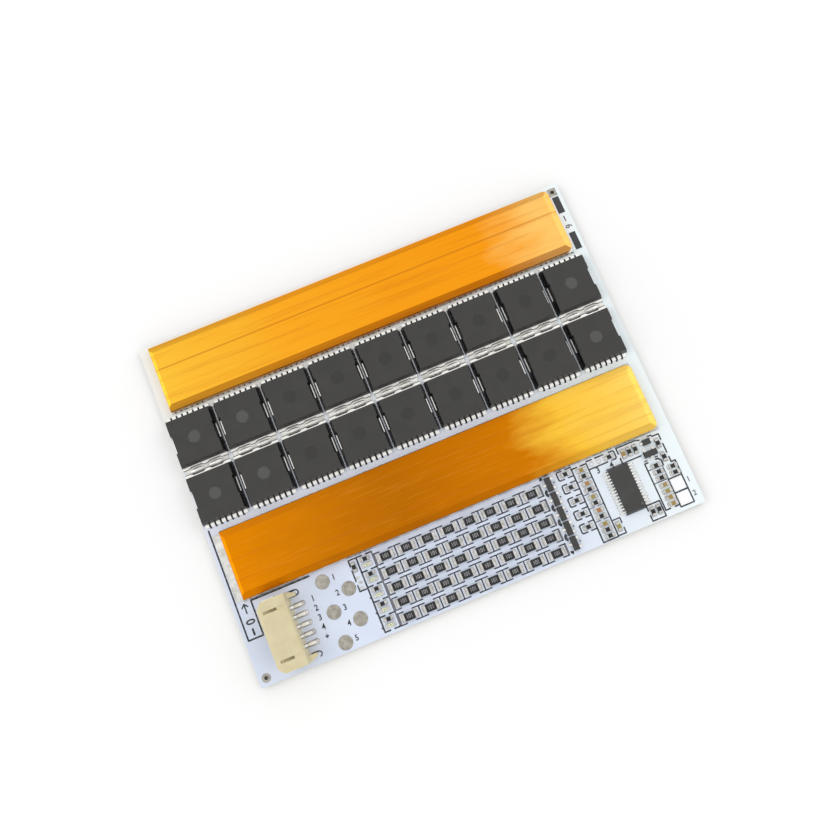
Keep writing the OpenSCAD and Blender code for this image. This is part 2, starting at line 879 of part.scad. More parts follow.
// Three-lead body with its single lead towards -X
module sot_body() {
    difference() {
        translate([0, 0, small_standoff])
            moulded_block(sot_width, sot_length, sot_height, sot_height * 0.5, 0.09, 0.07);
        sot_leads();
    }
}

module sot_leads() {
    rotate([0, 0, 180])
        gull_lead(sot_width / 2, sot_span / 2, sot_exit, sot_foot, small_lead, sot_lead_width);
    for (side = [-1, 1]) translate([0, side * sot_lead_pitch / 2, 0])
        gull_lead(sot_width / 2, sot_span / 2, sot_exit, sot_foot, small_lead, sot_lead_width);
}

module place_balance_transistors() {
    for (cell = [0:cells - 1])
        on_board(from_right(transistor_column, row_y(cell) + transistor_rise)) children();
}

module balance_transistor_bodies() {
    color("dimgray") place_balance_transistors() sot_body();
}

module balance_transistor_leads() {
    color("silver") place_balance_transistors() sot_leads();
}

regulator_place = from_right(6.3, controller_top - 0.15);

module regulator_body() {
    color("dimgray") on_board(regulator_place) rotate([0, 0, 90]) sot_body();
}

module regulator_leads() {
    color("silver") on_board(regulator_place) rotate([0, 0, 90]) sot_leads();
}

diode_place = from_right(6.1, upper_chip_row + 0.45);
diode_length = 1.7;
diode_width = 1.25;
diode_height = 0.9;
diode_span = 2.6;

module diode_body() {
    color("dimgray") on_board(diode_place) difference() {
        translate([0, 0, small_standoff])
            moulded_block(diode_length, diode_width, diode_height, diode_height * 0.5, 0.08, 0.06);
        diode_lead_pair();
    }
}

module diode_lead_pair() {
    for (side = [0, 180]) rotate([0, 0, side]) gull_lead(
        diode_length / 2, diode_span / 2, small_standoff + diode_height * 0.5, 0.3, small_lead, 0.32
    );
}

module diode_leads() {
    color("silver") on_board(diode_place) diode_lead_pair();
}

controller_place = from_right(controller_column, controller_y);
controller_exit = small_standoff + controller_height * 0.48;
controller_leads_per_side = floor((controller_length - 0.8) / controller_pitch) + 1;

module controller_lead_rows() {
    for (side = [0, 180]) rotate([0, 0, side])
        for (i = [0:controller_leads_per_side - 1])
            translate([0, (i - (controller_leads_per_side - 1) / 2) * controller_pitch, 0])
                gull_lead(controller_width / 2, controller_span / 2, controller_exit, 0.55,
                    small_lead, controller_pitch * 0.34);
}

module controller_body() {
    dimple = 0.45;
    color("dimgray") on_board(controller_place) difference() {
        translate([0, 0, small_standoff]) moulded_block(
            controller_width, controller_length, controller_height,
            controller_height * 0.48, 0.12, 0.1
        );
        controller_lead_rows();
        translate([controller_width / 2 - 0.85, -controller_length / 2 + 0.85,
            small_standoff + controller_height - 0.06]) cylinder(r = dimple, h = 1);
    }
}

module controller_leads() {
    color("silver") on_board(controller_place) controller_lead_rows();
}

// ---------------------------------------------------------------------------
// Nodes
// ---------------------------------------------------------------------------

circuit_board();
charge_busbar();
battery_busbar();
busbar_solder();
drain_solder();
tinned_pads();
connector_housing();
connector_contacts();
connector_hold_downs();
controller_body();
controller_leads();
balance_resistor_cores();
balance_resistor_ends();
balance_transistor_bodies();
balance_transistor_leads();
lamp_bodies();
lamp_ends();
chip_resistor_cores();
chip_capacitor_cores();
chip_ends();
regulator_body();
regulator_leads();
diode_body();
diode_leads();
for (row = ROWS) for (i = [1:transistors_per_row]) {
    color("darkslategray") in_row(row, i) mosfet_body();
    color("silver") in_row(row, i) mosfet_leadframe();
}
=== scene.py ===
"""Looks of a battery management board, in the frame of its construction model.

The frame holds every part at its real size. This script adds what the printing
screen, the soldering line and the finish of each part add: ink, lands, solder,
printed values, the materials, the light and the camera.

Lengths are in millimetres. Places count from the board's near left corner and
from its upper face, and become the frame's metres when a piece is finished.
"""

import logging
import math
from dataclasses import dataclass
from enum import Enum

import bmesh
import bpy
from mathutils import Matrix, Vector


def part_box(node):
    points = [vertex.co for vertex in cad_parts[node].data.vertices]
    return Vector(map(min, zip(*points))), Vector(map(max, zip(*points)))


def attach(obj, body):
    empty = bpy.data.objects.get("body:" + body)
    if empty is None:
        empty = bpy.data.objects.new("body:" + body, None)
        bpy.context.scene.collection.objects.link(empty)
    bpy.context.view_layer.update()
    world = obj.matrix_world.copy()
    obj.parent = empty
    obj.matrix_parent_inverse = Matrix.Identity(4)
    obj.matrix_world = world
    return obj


MM = 0.001
Pair = tuple[float, float]
Triple = tuple[float, float, float]
Tree = bpy.types.NodeTree
Socket = bpy.types.NodeSocket
LOG = logging.getLogger("board")
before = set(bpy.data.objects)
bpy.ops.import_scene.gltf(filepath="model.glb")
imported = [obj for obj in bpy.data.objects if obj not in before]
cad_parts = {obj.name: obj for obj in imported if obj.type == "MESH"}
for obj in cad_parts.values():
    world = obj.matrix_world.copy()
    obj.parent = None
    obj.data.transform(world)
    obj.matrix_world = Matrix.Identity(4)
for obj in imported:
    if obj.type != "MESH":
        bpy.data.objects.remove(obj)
BOARD_LOW, BOARD_HIGH = (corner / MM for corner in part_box("circuit_board"))
ORIGIN = Vector((BOARD_LOW.x, BOARD_LOW.y, BOARD_HIGH.z))


# ---------------------------------------------------------------------------
# Places: the boxes of the CAD nodes and of the solids in them
# ---------------------------------------------------------------------------

@dataclass(frozen=True)
class Box:
    """An upright box in millimetres.

    Args:
        low: Its corner with the lowest coordinates.
        high: Its corner with the highest coordinates.
    """

    low: Vector
    high: Vector

    @property
    def centre(self) -> Vector:
        """The middle of the box."""
        return (self.low + self.high) / 2

    @property
    def size(self) -> Vector:
        """The lengths of its sides."""
        return self.high - self.low

    @property
    def stands(self) -> bool:
        """Whether the box is longer along Y than along X."""
        return self.size.y > self.size.x


def box_of(node: str) -> Box:
    """The box of a CAD node, from the board's near left corner and upper face."""
    low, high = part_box(node)
    return Box(low / MM - ORIGIN, high / MM - ORIGIN)


def box_around(boxes: list[Box]) -> Box:
    """The box that holds all the given boxes."""
    lows = zip(*(b.low for b in boxes))
    highs = zip(*(b.high for b in boxes))
    return Box(Vector([min(v) for v in lows]), Vector([max(v) for v in highs]))


def solid_boxes(node: str) -> list[Box]:
    """Find the boxes of the separate solids in one CAD node.

    Args:
        node: The node's name.

    Returns:
        The boxes in millimetres, row by row from the near edge, each row from
        left to right.
    """
    bm = bmesh.new()
    bm.from_mesh(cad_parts[node].data)
    bmesh.ops.remove_doubles(bm, verts=bm.verts[:], dist=0.001 * MM)
    boxes, seen = [], set()
    for first in bm.verts:
        if first in seen:
            continue
        seen.add(first)
        island, queue = [], [first]
        while queue:
            vert = queue.pop()
            island.append(vert.co / MM - ORIGIN)
            for edge in vert.link_edges:
                other = edge.other_vert(vert)
                if other not in seen:
                    seen.add(other)
                    queue.append(other)
        boxes.append(box_around([Box(p, p) for p in island]))
    bm.free()
    return sorted(boxes, key=lambda b: (round(b.centre.y, 2), b.centre.x))


def rows_of(boxes: list[Box]) -> list[list[Box]]:
    """Group boxes that lie at one distance from the near edge."""
    rows: dict[float, list[Box]] = {}
    for box in boxes:
        rows.setdefault(round(box.centre.y, 1), []).append(box)
    return [sorted(row, key=lambda b: b.centre.x) for _, row in sorted(rows.items())]


# ---------------------------------------------------------------------------
# Material tools
# ---------------------------------------------------------------------------

def linear(code: str, alpha: float = 1.0) -> tuple[float, float, float, float]:
    """Turn an sRGB hex colour into a linear one.

    Args:
        code: The colour as "#rrggbb".
        alpha: The fourth value.

    Returns:
        Red, green, blue and alpha.
    """
    parts = [int(code[i:i + 2], 16) / 255 for i in (1, 3, 5)]
    low = [p / 12.92 if p <= 0.04045 else ((p + 0.055) / 1.055) ** 2.4 for p in parts]
    return (*low, alpha)


def connect(tree: Tree, node: bpy.types.Node, inputs: dict) -> None:
    """Set or feed a node's inputs.

    Args:
        tree: The material's node tree.
        node: The node.
        inputs: For each input, by name or number, a value or the socket that
            feeds it.
    """
    for key, value in inputs.items():
        if isinstance(value, Socket):
            tree.links.new(value, node.inputs[key])
        else:
            node.inputs[key].default_value = value


def add_node(tree: Tree, kind: str, inputs: dict | None = None,
             **settings: object) -> bpy.types.Node:
    """Add a node with its settings, values and links.

    Args:
        tree: The material's node tree.
        kind: The node's type name.
        inputs: For each input, by name or number, a value or the socket that
            feeds it.
        **settings: Properties of the node.

    Returns:
        The new node.
    """
    made = tree.nodes.new(kind)
    for name, value in settings.items():
        setattr(made, name, value)
    connect(tree, made, inputs or {})
    return made


def object_place(tree: Tree, size: Triple, origin: Triple = (0.0, 0.0, 0.0)) -> Socket:
    """Object coordinates counted in pattern lengths.

    Args:
        tree: The material's node tree.
        size: The pattern's length along each axis, in millimetres.
        origin: The point that becomes zero, in millimetres.

    Returns:
        The vector socket.
    """
    where = add_node(tree, "ShaderNodeTexCoord").outputs["Object"]
    zero = (ORIGIN + Vector(origin)) * MM
    moved = add_node(tree, "ShaderNodeVectorMath", {0: where, 1: zero},
                     operation="SUBTRACT").outputs[0]
    return add_node(tree, "ShaderNodeVectorMath",
                    {0: moved, 1: tuple(v * MM for v in size)},
                    operation="DIVIDE").outputs[0]


def along(tree: Tree, axis: str, zero: float = 0.0) -> Socket:
    """How far a point lies along an axis, in millimetres from the given zero."""
    place = object_place(tree, (1.0, 1.0, 1.0), (zero, zero, zero))
    return add_node(tree, "ShaderNodeSeparateXYZ", {0: place}).outputs[axis]


def facing(tree: Tree, axis: str) -> Socket:
    """How squarely the surface faces along an axis, from -1 to 1."""
    normal = add_node(tree, "ShaderNodeTexCoord").outputs["Normal"]
    return add_node(tree, "ShaderNodeSeparateXYZ", {0: normal}).outputs[axis]


def grain(tree: Tree, size: Triple | float, detail: float = 2.0,
          roughness: float = 0.5) -> Socket:
    """A noise whose lumps have the given length.

    Args:
        tree: The material's node tree.
        size: The lumps' lengths along the axes, or one length for all, in
            millimetres.
        detail: Octaves of finer noise.
        roughness: Strength of the finer octaves.

    Returns:
        The noise value, from 0 to 1.
    """
    lengths = size if isinstance(size, tuple) else (size, size, size)
    return add_node(tree, "ShaderNodeTexNoise",
                    {"Vector": object_place(tree, lengths), "Scale": 1.0, "Detail": detail,
                     "Roughness": roughness}).outputs["Fac"]


def lay_over(tree: Tree, pattern: Socket, span: tuple[float, float], under: Socket | str,
             over: Socket | str, strength: float = 1.0, blend: str = "MIX") -> Socket:
    """Lay a colour over another one where a pattern is strong.

    Args:
        tree: The material's node tree.
        pattern: What places the upper colour.
        span: The pattern's values where the upper colour starts and is full.
        under: The lower colour, as hex or as a socket.
        over: The upper colour, as hex or as a socket.
        strength: The upper colour's share where it is full.
        blend: The way of mixing.

    Returns:
        The mixed colour's socket.
    """
    share = add_node(tree, "ShaderNodeMapRange", {
        0: pattern, 1: span[0], 2: span[1], 3: 0.0, 4: strength}).outputs[0]
    lower, upper = (linear(c) if isinstance(c, str) else c for c in (under, over))
    return add_node(tree, "ShaderNodeMix", {0: share, 6: lower, 7: upper},
                    data_type="RGBA", blend_type=blend).outputs[2]


def relief(tree: Tree, *heights: tuple[Socket, float]) -> Socket:
    """Roughen a surface with height patterns.

    Args:
        tree: The material's node tree.
        *heights: Pairs of a height socket, from 0 to 1, and its depth in
            millimetres.

    Returns:
        The socket of the roughened normal.
    """
    normal = None
    for height, depth in heights:
        inputs = {"Height": height, "Distance": depth * MM, "Strength": 1.0}
        if normal is not None:
            inputs["Normal"] = normal
        normal = add_node(tree, "ShaderNodeBump", inputs).outputs["Normal"]
    return normal


# ---------------------------------------------------------------------------
# Finishes
# ---------------------------------------------------------------------------

class Finish:
    """A finish that builds its own material."""

    name: str

    def material(self) -> bpy.types.Material:
        """Build the material."""
        made = bpy.data.materials.new(self.name)
        made.use_nodes = True
        tree = made.node_tree
        shader = next(n for n in tree.nodes if n.type == "BSDF_PRINCIPLED")
        connect(tree, shader, self.paint(tree))
        return made

    def paint(self, tree: Tree) -> dict[str, object]:
        """Add the nodes, and return what each input of the shader gets."""
        raise NotImplementedError


@dataclass(frozen=True)
class SolderMask(Finish):
    """White epoxy solder mask, screened and cured over glass-fibre laminate.

    It gives the eye a cool, slightly uneven satin white with painted light in it:
    the white is painted lighter towards the far side and towards the right edge.
    The greyer, fibrous laminate shows on the milled edges.

    Args:
        name: The material's name.
        tone: The cool white.
        patch: The duller clouds in it.
        warm: A lighter white towards the far side, which is painted light.
        bright: A lighter white towards the right edge, which is painted light.
        laminate: The resin on the milled edges.
        fibre: The glass cloth in it.
    """

    name: str = "white_solder_mask"
    tone: str = "#d8e1f2"
    patch: str = "#cfd8ea"
    warm: str = "#eeeeea"
    bright: str = "#eaf3f6"
    laminate: str = "#a9a89c"
    fibre: str = "#8f8e86"

    def paint(self, tree: Tree) -> dict[str, object]:
        """Lay the whites over one another, and the laminate on the edges."""
        cool = lay_over(tree, grain(tree, 9.0, 3.0), (0.35, 0.65), self.tone, self.patch)
        # Painted light: the white is made lighter towards the far side, then towards the right edge.
        far_lit = lay_over(tree, along(tree, "Y"), (25.0, 60.0), cool, self.warm)
        mask = lay_over(tree, along(tree, "X"), (60.0, 95.0), far_lit, self.bright)
        edge = lay_over(tree, grain(tree, (1.6, 1.6, 0.17), 1.0), (0.4, 0.6),
                        self.laminate, self.fibre)
        flat = add_node(tree, "ShaderNodeMath", {0: facing(tree, "Z")},
                        operation="ABSOLUTE").outputs[0]
        return {"Base Color": lay_over(tree, flat, (0.45, 0.55), edge, mask),
                "Roughness": 0.42, "IOR": 1.5,
                "Normal": relief(tree, (grain(tree, 0.7), 0.006))}


@dataclass(frozen=True)
class BrushedCopper(Finish):
    """Thick copper strip, drawn and brushed along its length, left bare.

    It gives the eye faint scratches along the bar, broad stains mixed with painted
    reflection in lighter and darker stretches, and edge bands darkened as painted shade.

    Args:
        name: The material's name.
        bar: The bar's box, which places the stains and the painted reflection.
        stain_and_reflection_stops: Colour stops along the bar, from its left end to its right: stains
            mixed with painted reflection.
        scratch: The colour of its dull streaks.
        gleam: The colour of its fine bright scratches.
        shade: The tint of the painted shade on the bands along its edges.
        far_band_shade: How strong the painted shade on the band at its far edge is, from 0 to 1.
        near_band_shade: How strong the painted shade on the band at its near edge is, from 0 to 1.
        groove: How far from the board's near edge a drawing mark runs, or None.
        stray: How far the stains and the painted reflection stray along the bar, as a share of its
            length.
    """

    name: str
    bar: Box
    stain_and_reflection_stops: tuple[tuple[float, str], ...]
    scratch: str = "#b9691c"
    gleam: str = "#f6b040"
    shade: str = "#cbbcbc"
    far_band_shade: float = 0.0
    near_band_shade: float = 0.3
    groove: float | None = None
    stray: float = 0.22

    def stains_and_reflection(self, tree: Tree) -> Socket:
        """The colour along the bar, stains mixed with painted reflection, which stray from their place.
        """
        where = object_place(tree, (self.bar.size.x, self.bar.size.y, 1.0),
                             tuple(self.bar.low))
        share = add_node(tree, "ShaderNodeVectorMath", {0: where, 1: (1.0, 0.0, 0.0)},
                         operation="DOT_PRODUCT").outputs["Value"]
        swayed = add_node(tree, "ShaderNodeMath", {
            0: grain(tree, (14.0, 4.5, 9.0), 3.0, 0.6), 1: self.stray, 2: share},
            operation="MULTIPLY_ADD").outputs[0]
        centred = add_node(tree, "ShaderNodeMath", {0: swayed, 1: self.stray / 2},
                           operation="SUBTRACT").outputs[0]
        # The colour stops hold stains and painted reflection: lighter and darker stretches along the
        # bar.
        made = add_node(tree, "ShaderNodeValToRGB", {"Fac": centred})
        stops = made.color_ramp.elements
        while len(stops) < len(self.stain_and_reflection_stops):
            stops.new(0.5)
        for stop, (place, code) in zip(stops, self.stain_and_reflection_stops):
            stop.position = place
            stop.color = linear(code)
        return made.outputs["Color"]

    def paint(self, tree: Tree) -> dict[str, object]:
        """Lay the streaks, the drawing mark and the painted shade of the edge bands over the stains."""
        broad = add_node(tree, "ShaderNodeMapRange", {
            0: grain(tree, (38.0, 1.3, 2.0), 3.0, 0.65), 1: 0.50, 2: 0.68}).outputs[0]
        colour = lay_over(tree, broad, (0.0, 1.0), self.stains_and_reflection(tree), self.scratch, 0.28)
        colour = lay_over(tree, grain(tree, (9.0, 0.30, 0.5), 2.0, 0.6), (0.55, 0.75),
                          colour, self.gleam, 0.16)
        if self.groove is not None:
            away = add_node(tree, "ShaderNodeMath", {0: along(tree, "Y", self.groove)},
                            operation="ABSOLUTE").outputs[0]
            colour = lay_over(tree, away, (0.26, 0.08), colour, self.scratch, 0.5)
        # Painted shade: the bands that face the far and the near side are darkened in the colour.
        for slope, dim in ((1, self.far_band_shade), (-1, self.near_band_shade)):
            colour = lay_over(tree, facing(tree, "Y"), (0.1 * slope, 0.3 * slope), colour,
                              self.shade, dim, "MULTIPLY")
        rough = add_node(tree, "ShaderNodeMapRange", {0: broad, 3: 0.34, 4: 0.48})
        return {"Base Color": colour, "Metallic": 1.0, "Roughness": rough.outputs[0],
                "Normal": relief(tree, (grain(tree, (26.0, 0.8, 0.8), 3.0, 0.6), 0.006),
                                 (grain(tree, (9.0, 0.22, 0.3), 1.0), 0.002))}


@dataclass(frozen=True)
class BrightTin(Finish):
    """Tin on copper: plated leads, tinned lands or solder that has flowed.

    It gives the eye a pale grey metal; plating is even, and solder is smoother
    and lumpier.

    Args:
        name: The material's name.
        tone: The metal's colour.
        dull: The colour of its duller patches.
        roughness: How much the surface scatters.
        lump: Length of its lumps in millimetres.
        rise: Height of the lumps in millimetres.
    """

    name: str
    tone: str
    dull: str
    roughness: float
    lump: float
    rise: float

    def paint(self, tree: Tree) -> dict[str, object]:
        """Lay duller patches over the metal, and lumps on its surface."""
        patches = grain(tree, self.lump * 2, 3.0, 0.6)
        return {"Base Color": lay_over(tree, patches, (0.35, 0.65), self.tone, self.dull),
                "Metallic": 1.0, "Roughness": self.roughness,
                "Normal": relief(tree, (grain(tree, self.lump), self.rise))}


@dataclass(frozen=True)
class MouldCompound(Finish):
    """Black epoxy mould compound, transfer moulded against a sparked tool.

    It gives the eye a warm charcoal with a fine matte grain; the sides, which
    slide off the tool, are smoother, and are painted darker as painted shade. A round
    ejector mark may be paler than the face, as a painted reflection, or darker.

    Args:
        name: The material's name.
        tone: The face's colour.
        side: The colour of the drafted sides, darker than the face as painted shade.
        cloud: The colour of the face's faint clouds.
        mark: The colour of the ejector mark, or None for a body without one; a paler mark is a painted
            reflection.
        mark_place: The mark's centre in millimetres.
        mark_radius: The mark's radius in millimetres.
    """

    name: str
    tone: str = "#2f2e2c"
    # Painted shade on the drafted sides.
    side: str = "#100f0f"
    cloud: str = "#343330"
    mark: str | None = None
    mark_place: Triple = (0.0, 0.0, 0.0)
    mark_radius: float = 1.35

    def marked(self, tree: Tree, face: Socket) -> Socket:
        """Lay the ejector mark, with its uneven rim, over the face."""
        away = object_place(tree, (self.mark_radius,) * 3, self.mark_place)
        flat = add_node(tree, "ShaderNodeVectorMath", {0: away, 1: (1.0, 1.0, 0.0)},
                        operation="MULTIPLY").outputs[0]
        reach = add_node(tree, "ShaderNodeVectorMath", {0: flat},
                         operation="LENGTH").outputs["Value"]
        wobble = add_node(tree, "ShaderNodeMath", {0: grain(tree, 0.9), 1: 0.35, 2: reach},
                          operation="MULTIPLY_ADD").outputs[0]
        return lay_over(tree, wobble, (1.25, 1.0), face, self.mark)

    def paint(self, tree: Tree) -> dict[str, object]:
        """Tell the matte face from the smoother sides."""
        face = lay_over(tree, grain(tree, 3.0, 3.0, 0.6), (0.3, 0.7), self.tone, self.cloud)
        if self.mark:
            face = self.marked(tree, face)
        upright = facing(tree, "Z")
        rough = add_node(tree, "ShaderNodeMapRange", {0: upright, 1: 0.8, 2: 0.95, 3: 0.42,
                                                      4: 0.62})
        # Painted shade: faces that don't look up take the darker side colour.
        return {"Base Color": lay_over(tree, upright, (0.8, 0.95), self.side, face),
                "Roughness": rough.outputs[0], "IOR": 1.5,
                "Normal": relief(tree, (grain(tree, 0.16, 1.0), 0.006))}


@dataclass(frozen=True)
class Moulding(Finish):
    """A plain moulded or fired part: nylon, glaze, ceramic or resin.

    It gives the eye an even colour with slight cloudiness and a soft gloss.

    Args:
        name: The material's name.
        tone: The main colour.
        cloud: The colour of its faint clouds.
        roughness: How much the surface scatters.
        ior: Its refractive index.
        glow: Share of light that travels under the surface.
        texture: Length of the surface grain in millimetres.
        rise: Depth of the surface grain in millimetres.
    """

    name: str
    tone: str
    cloud: str
    roughness: float = 0.45
    ior: float = 1.5
    glow: float = 0.0
    texture: float = 0.3
    rise: float = 0.004

    def paint(self, tree: Tree) -> dict[str, object]:
        """Lay faint clouds over the tone, and let light in where it glows."""
        inputs = {"Base Color": lay_over(tree, grain(tree, 2.2, 3.0), (0.35, 0.65),
                                         self.tone, self.cloud),
                  "Roughness": self.roughness, "IOR": self.ior,
                  "Normal": relief(tree, (grain(tree, self.texture, 1.0), self.rise))}
        if self.glow:
            inputs |= {"Subsurface Weight": self.glow, "Subsurface Radius": (1.0, 0.8, 0.5),
                       "Subsurface Scale": 1.2 * MM}
        return inputs


class Shade(Enum):
    """The two densities of the legend ink."""

    FULL = "#131318"
    WORN = "#66666e"


@dataclass(frozen=True)
class ScreenInk(Finish):
    """Black epoxy legend ink, screened on the mask and baked.

    It gives the eye a dense black that thins to grey where the screen was
    poorly filled.

    Args:
        shade: How dense the ink lies.
        thin: The ink's colour where it is thin.
    """

    shade: Shade
    thin: str = "#85858c"

    @property
    def name(self) -> str:
        """The material's name."""
        return f"legend_ink_{self.shade.name.lower()}"

    def paint(self, tree: Tree) -> dict[str, object]:
        """Thin the ink in small clouds."""
        return {"Base Color": lay_over(tree, grain(tree, 0.7, 3.0, 0.7), (0.45, 0.85),
                                       self.shade.value, self.thin),
                "Roughness": 0.55, "IOR": 1.5,
                "Normal": relief(tree, (grain(tree, 0.15, 1.0), 0.003))}


@dataclass(frozen=True)
class StudioPaint(Finish):
    """Matt white paint, rolled on a sheet, for the table under the board.

    It gives the eye an even white without gloss.
    """

    name: str = "table_white"
    tone: str = "#f6f6f6"
    cloud: str = "#f8f8f8"

    def paint(self, tree: Tree) -> dict[str, object]:
        """Lay wide, barely seen clouds over the white."""
        return {"Base Color": lay_over(tree, grain(tree, 120.0, 1.0), (0.0, 1.0), self.tone,
                                       self.cloud),
                "Roughness": 0.9}


# ---------------------------------------------------------------------------
# Flat shapes: ink, lands and print
# ---------------------------------------------------------------------------

def pour(shape: bmesh.types.BMesh, target: bmesh.types.BMesh) -> None:
    """Add a mesh to another one, and free it."""
    passing = bpy.data.meshes.new("passing")
    shape.to_mesh(passing)
    shape.free()
    target.from_mesh(passing)
    bpy.data.meshes.remove(passing)


def rectangle(size: Pair, radius: float = 0.0) -> bmesh.types.BMesh:
    """Make a flat rectangle round the origin.

    Args:
        size: Its length and width.
        radius: The radius of its corners.

    Returns:
        The new mesh.
    """
    shape = bmesh.new()
    bmesh.ops.create_grid(shape, x_segments=1, y_segments=1, size=0.5)
    bmesh.ops.scale(shape, vec=(*size, 1), verts=shape.verts[:])
    if radius:
        bmesh.ops.bevel(shape, geom=shape.verts[:], offset=min(radius, 0.49 * min(size)),
                        offset_type="OFFSET", affect="VERTICES", segments=4, profile=0.5,
                        material=-1)
    return shape


def placed(centre: Pair, turn: float = 0.0) -> Matrix:
    """The matrix that turns a flat shape by some degrees and moves it to its place."""
    return Matrix.Translation((*centre, 0)) @ Matrix.Rotation(math.radians(turn), 4, "Z")


class Layer:
    """Thin flat shapes of one finish, which lie on one face.

    Shapes that overlap get tops at slightly different heights, so that no two
    faces coincide: STEPS heights, each STEP higher than the last. The type's
    figures are FIGURE_HEIGHT tall at size 1, and are thickened by BOLD.
    """

    STEPS = 9
    STEP = 0.0012
    FIGURE_HEIGHT = 0.72
    BOLD = 0.022

    def __init__(self, name: str, base: float, thickness: float, spread: float = 0.0) -> None:
        """Start an empty layer.

        Args:
            name: The name of the piece that it becomes.
            base: The height of the face that it lies on.
            thickness: How far it stands off that face.
            spread: How much wider the ink of a stroke gets than the pen.
        """
        self.name = name
        self.base = base
        self.thickness = thickness
        self.spread = spread
        self.mesh = bmesh.new()
        self.count = 0

    def lift(self) -> float:
        """How much higher than the layer the next shape's top lies."""
        step = self.count % self.STEPS
        self.count += 1
        return step * self.STEP

    def add(self, shape: bmesh.types.BMesh, place: Matrix) -> None:
        """Thicken a flat shape, put it in place and join it to the layer."""
        lift = self.lift()
        shape.normal_update()
        bmesh.ops.reverse_faces(shape, faces=[f for f in shape.faces if f.normal.z < 0])
        bmesh.ops.solidify(shape, geom=shape.faces[:], thickness=self.thickness + lift)
        bmesh.ops.recalc_face_normals(shape, faces=shape.faces[:])
        raised = Matrix.Translation((0, 0, self.base + self.thickness + lift))
        bmesh.ops.transform(shape, matrix=raised @ place, verts=shape.verts[:])
        pour(shape, self.mesh)

    def block(self, centre: Pair, size: Pair, radius: float = 0.0,
              turn: float = 0.0) -> None:
        """Add a rectangle with rounded corners.

        Args:
            centre: Its middle.
            size: Its length and width.
            radius: The radius of its corners.
            turn: Its angle in degrees.
        """
        self.add(rectangle(size, radius), placed(centre, turn))

    def stroke(self, *points: Pair, width: float = 0.22) -> None:
        """Draw a line of round-ended strokes through the points.

        Args:
            *points: The corners of the line.
            width: The width of the pen.
        """
        width += self.spread
        for start, end in zip(points, points[1:]):
            run = Vector(end) - Vector(start)
            middle = (Vector(end) + Vector(start)) / 2
            self.block(tuple(middle), (run.length + width, width), width / 2,
                       math.degrees(math.atan2(run.y, run.x)))

    def frame(self, low: Pair, high: Pair, width: float = 0.22,
              radius: float = 0.2) -> None:
        """Add the outline of a rectangle.

        Args:
            low: Its near left corner.
            high: Its far right corner.
            width: The width of the line.
            radius: The outer radius of its corners.
        """
        shape = rectangle((high[0] - low[0] + width, high[1] - low[1] + width), radius)
        inner = shape.faces[:]
        bmesh.ops.inset_individual(shape, faces=inner, thickness=width, use_even_offset=True)
        bmesh.ops.delete(shape, geom=inner, context="FACES")
        self.add(shape, placed(((low[0] + high[0]) / 2, (low[1] + high[1]) / 2)))

    def arc(self, centre: Pair, radius: float, first: float, sweep: float,
            width: float = 0.22) -> None:
        """Add a part of a ring.

        Args:
            centre: The ring's centre.
            radius: The radius of its middle line.
            first: The angle at which it starts, in degrees.
            sweep: The angle that it covers, in degrees.
            width: The width of the line.
        """
        shape = bmesh.new()
        ends = [shape.verts.new((radius + side * width / 2, 0, 0)) for side in (-1, 1)]
        edge = shape.edges.new(ends)
        bmesh.ops.spin(shape, geom=ends + [edge], cent=(0, 0, 0), axis=(0, 0, 1),
                       angle=math.radians(sweep), steps=max(4, round(abs(sweep) / 15)),
                       use_merge=abs(sweep) >= 360)
        self.add(shape, placed(centre, first))

    def disc(self, centre: Pair, radius: float, corners: int = 16,
             turn: float = 0.0) -> None:
        """Add a filled circle, or a triangle where it has three corners.

        Args:
            centre: Its middle.
            radius: Its radius to the corners.
            corners: How many corners it has.
            turn: Its angle in degrees.
        """
        shape = bmesh.new()
        bmesh.ops.create_circle(shape, cap_ends=True, segments=corners, radius=radius)
        self.add(shape, placed(centre, turn))

    def write(self, text: str, centre: Pair, height: float, turn: float = 0.0,
              squeeze: float = 0.85) -> None:
        """Add printed figures.

        Args:
            text: What is printed.
            centre: The middle of the text.
            height: The height of a figure.
            turn: The angle of its base line in degrees.
            squeeze: The width of a figure as a share of the type's own.
        """
        curve = bpy.data.curves.new("figures", "FONT")
        curve.body = text
        curve.align_x = "CENTER"
        curve.align_y = "CENTER"
        curve.resolution_u = 3
        curve.extrude = 0.5
        curve.offset = self.BOLD
        holder = bpy.data.objects.new("figures", curve)
        bpy.context.scene.collection.objects.link(holder)
        mesh = bpy.data.meshes.new_from_object(holder)
        bpy.data.objects.remove(holder)
        bpy.data.curves.remove(curve)
        tall = self.thickness + self.lift()
        scale = height / self.FIGURE_HEIGHT
        mesh.transform(
            Matrix.Translation((centre[0], centre[1], self.base + tall / 2))
            @ Matrix.Rotation(math.radians(turn), 4, "Z")
            @ Matrix.Diagonal((scale * squeeze, scale, tall, 1)))
        self.mesh.from_mesh(mesh)
        bpy.data.meshes.remove(mesh)

    def piece(self, material: bpy.types.Material,
              slot: str | None = None) -> bpy.types.Object:
        """Turn the layer into a piece of the board.

        Args:
            material: The layer's material.
            slot: Not used.

        Returns:
            The new object.
        """
        return finish_piece(self.name, self.mesh, material)


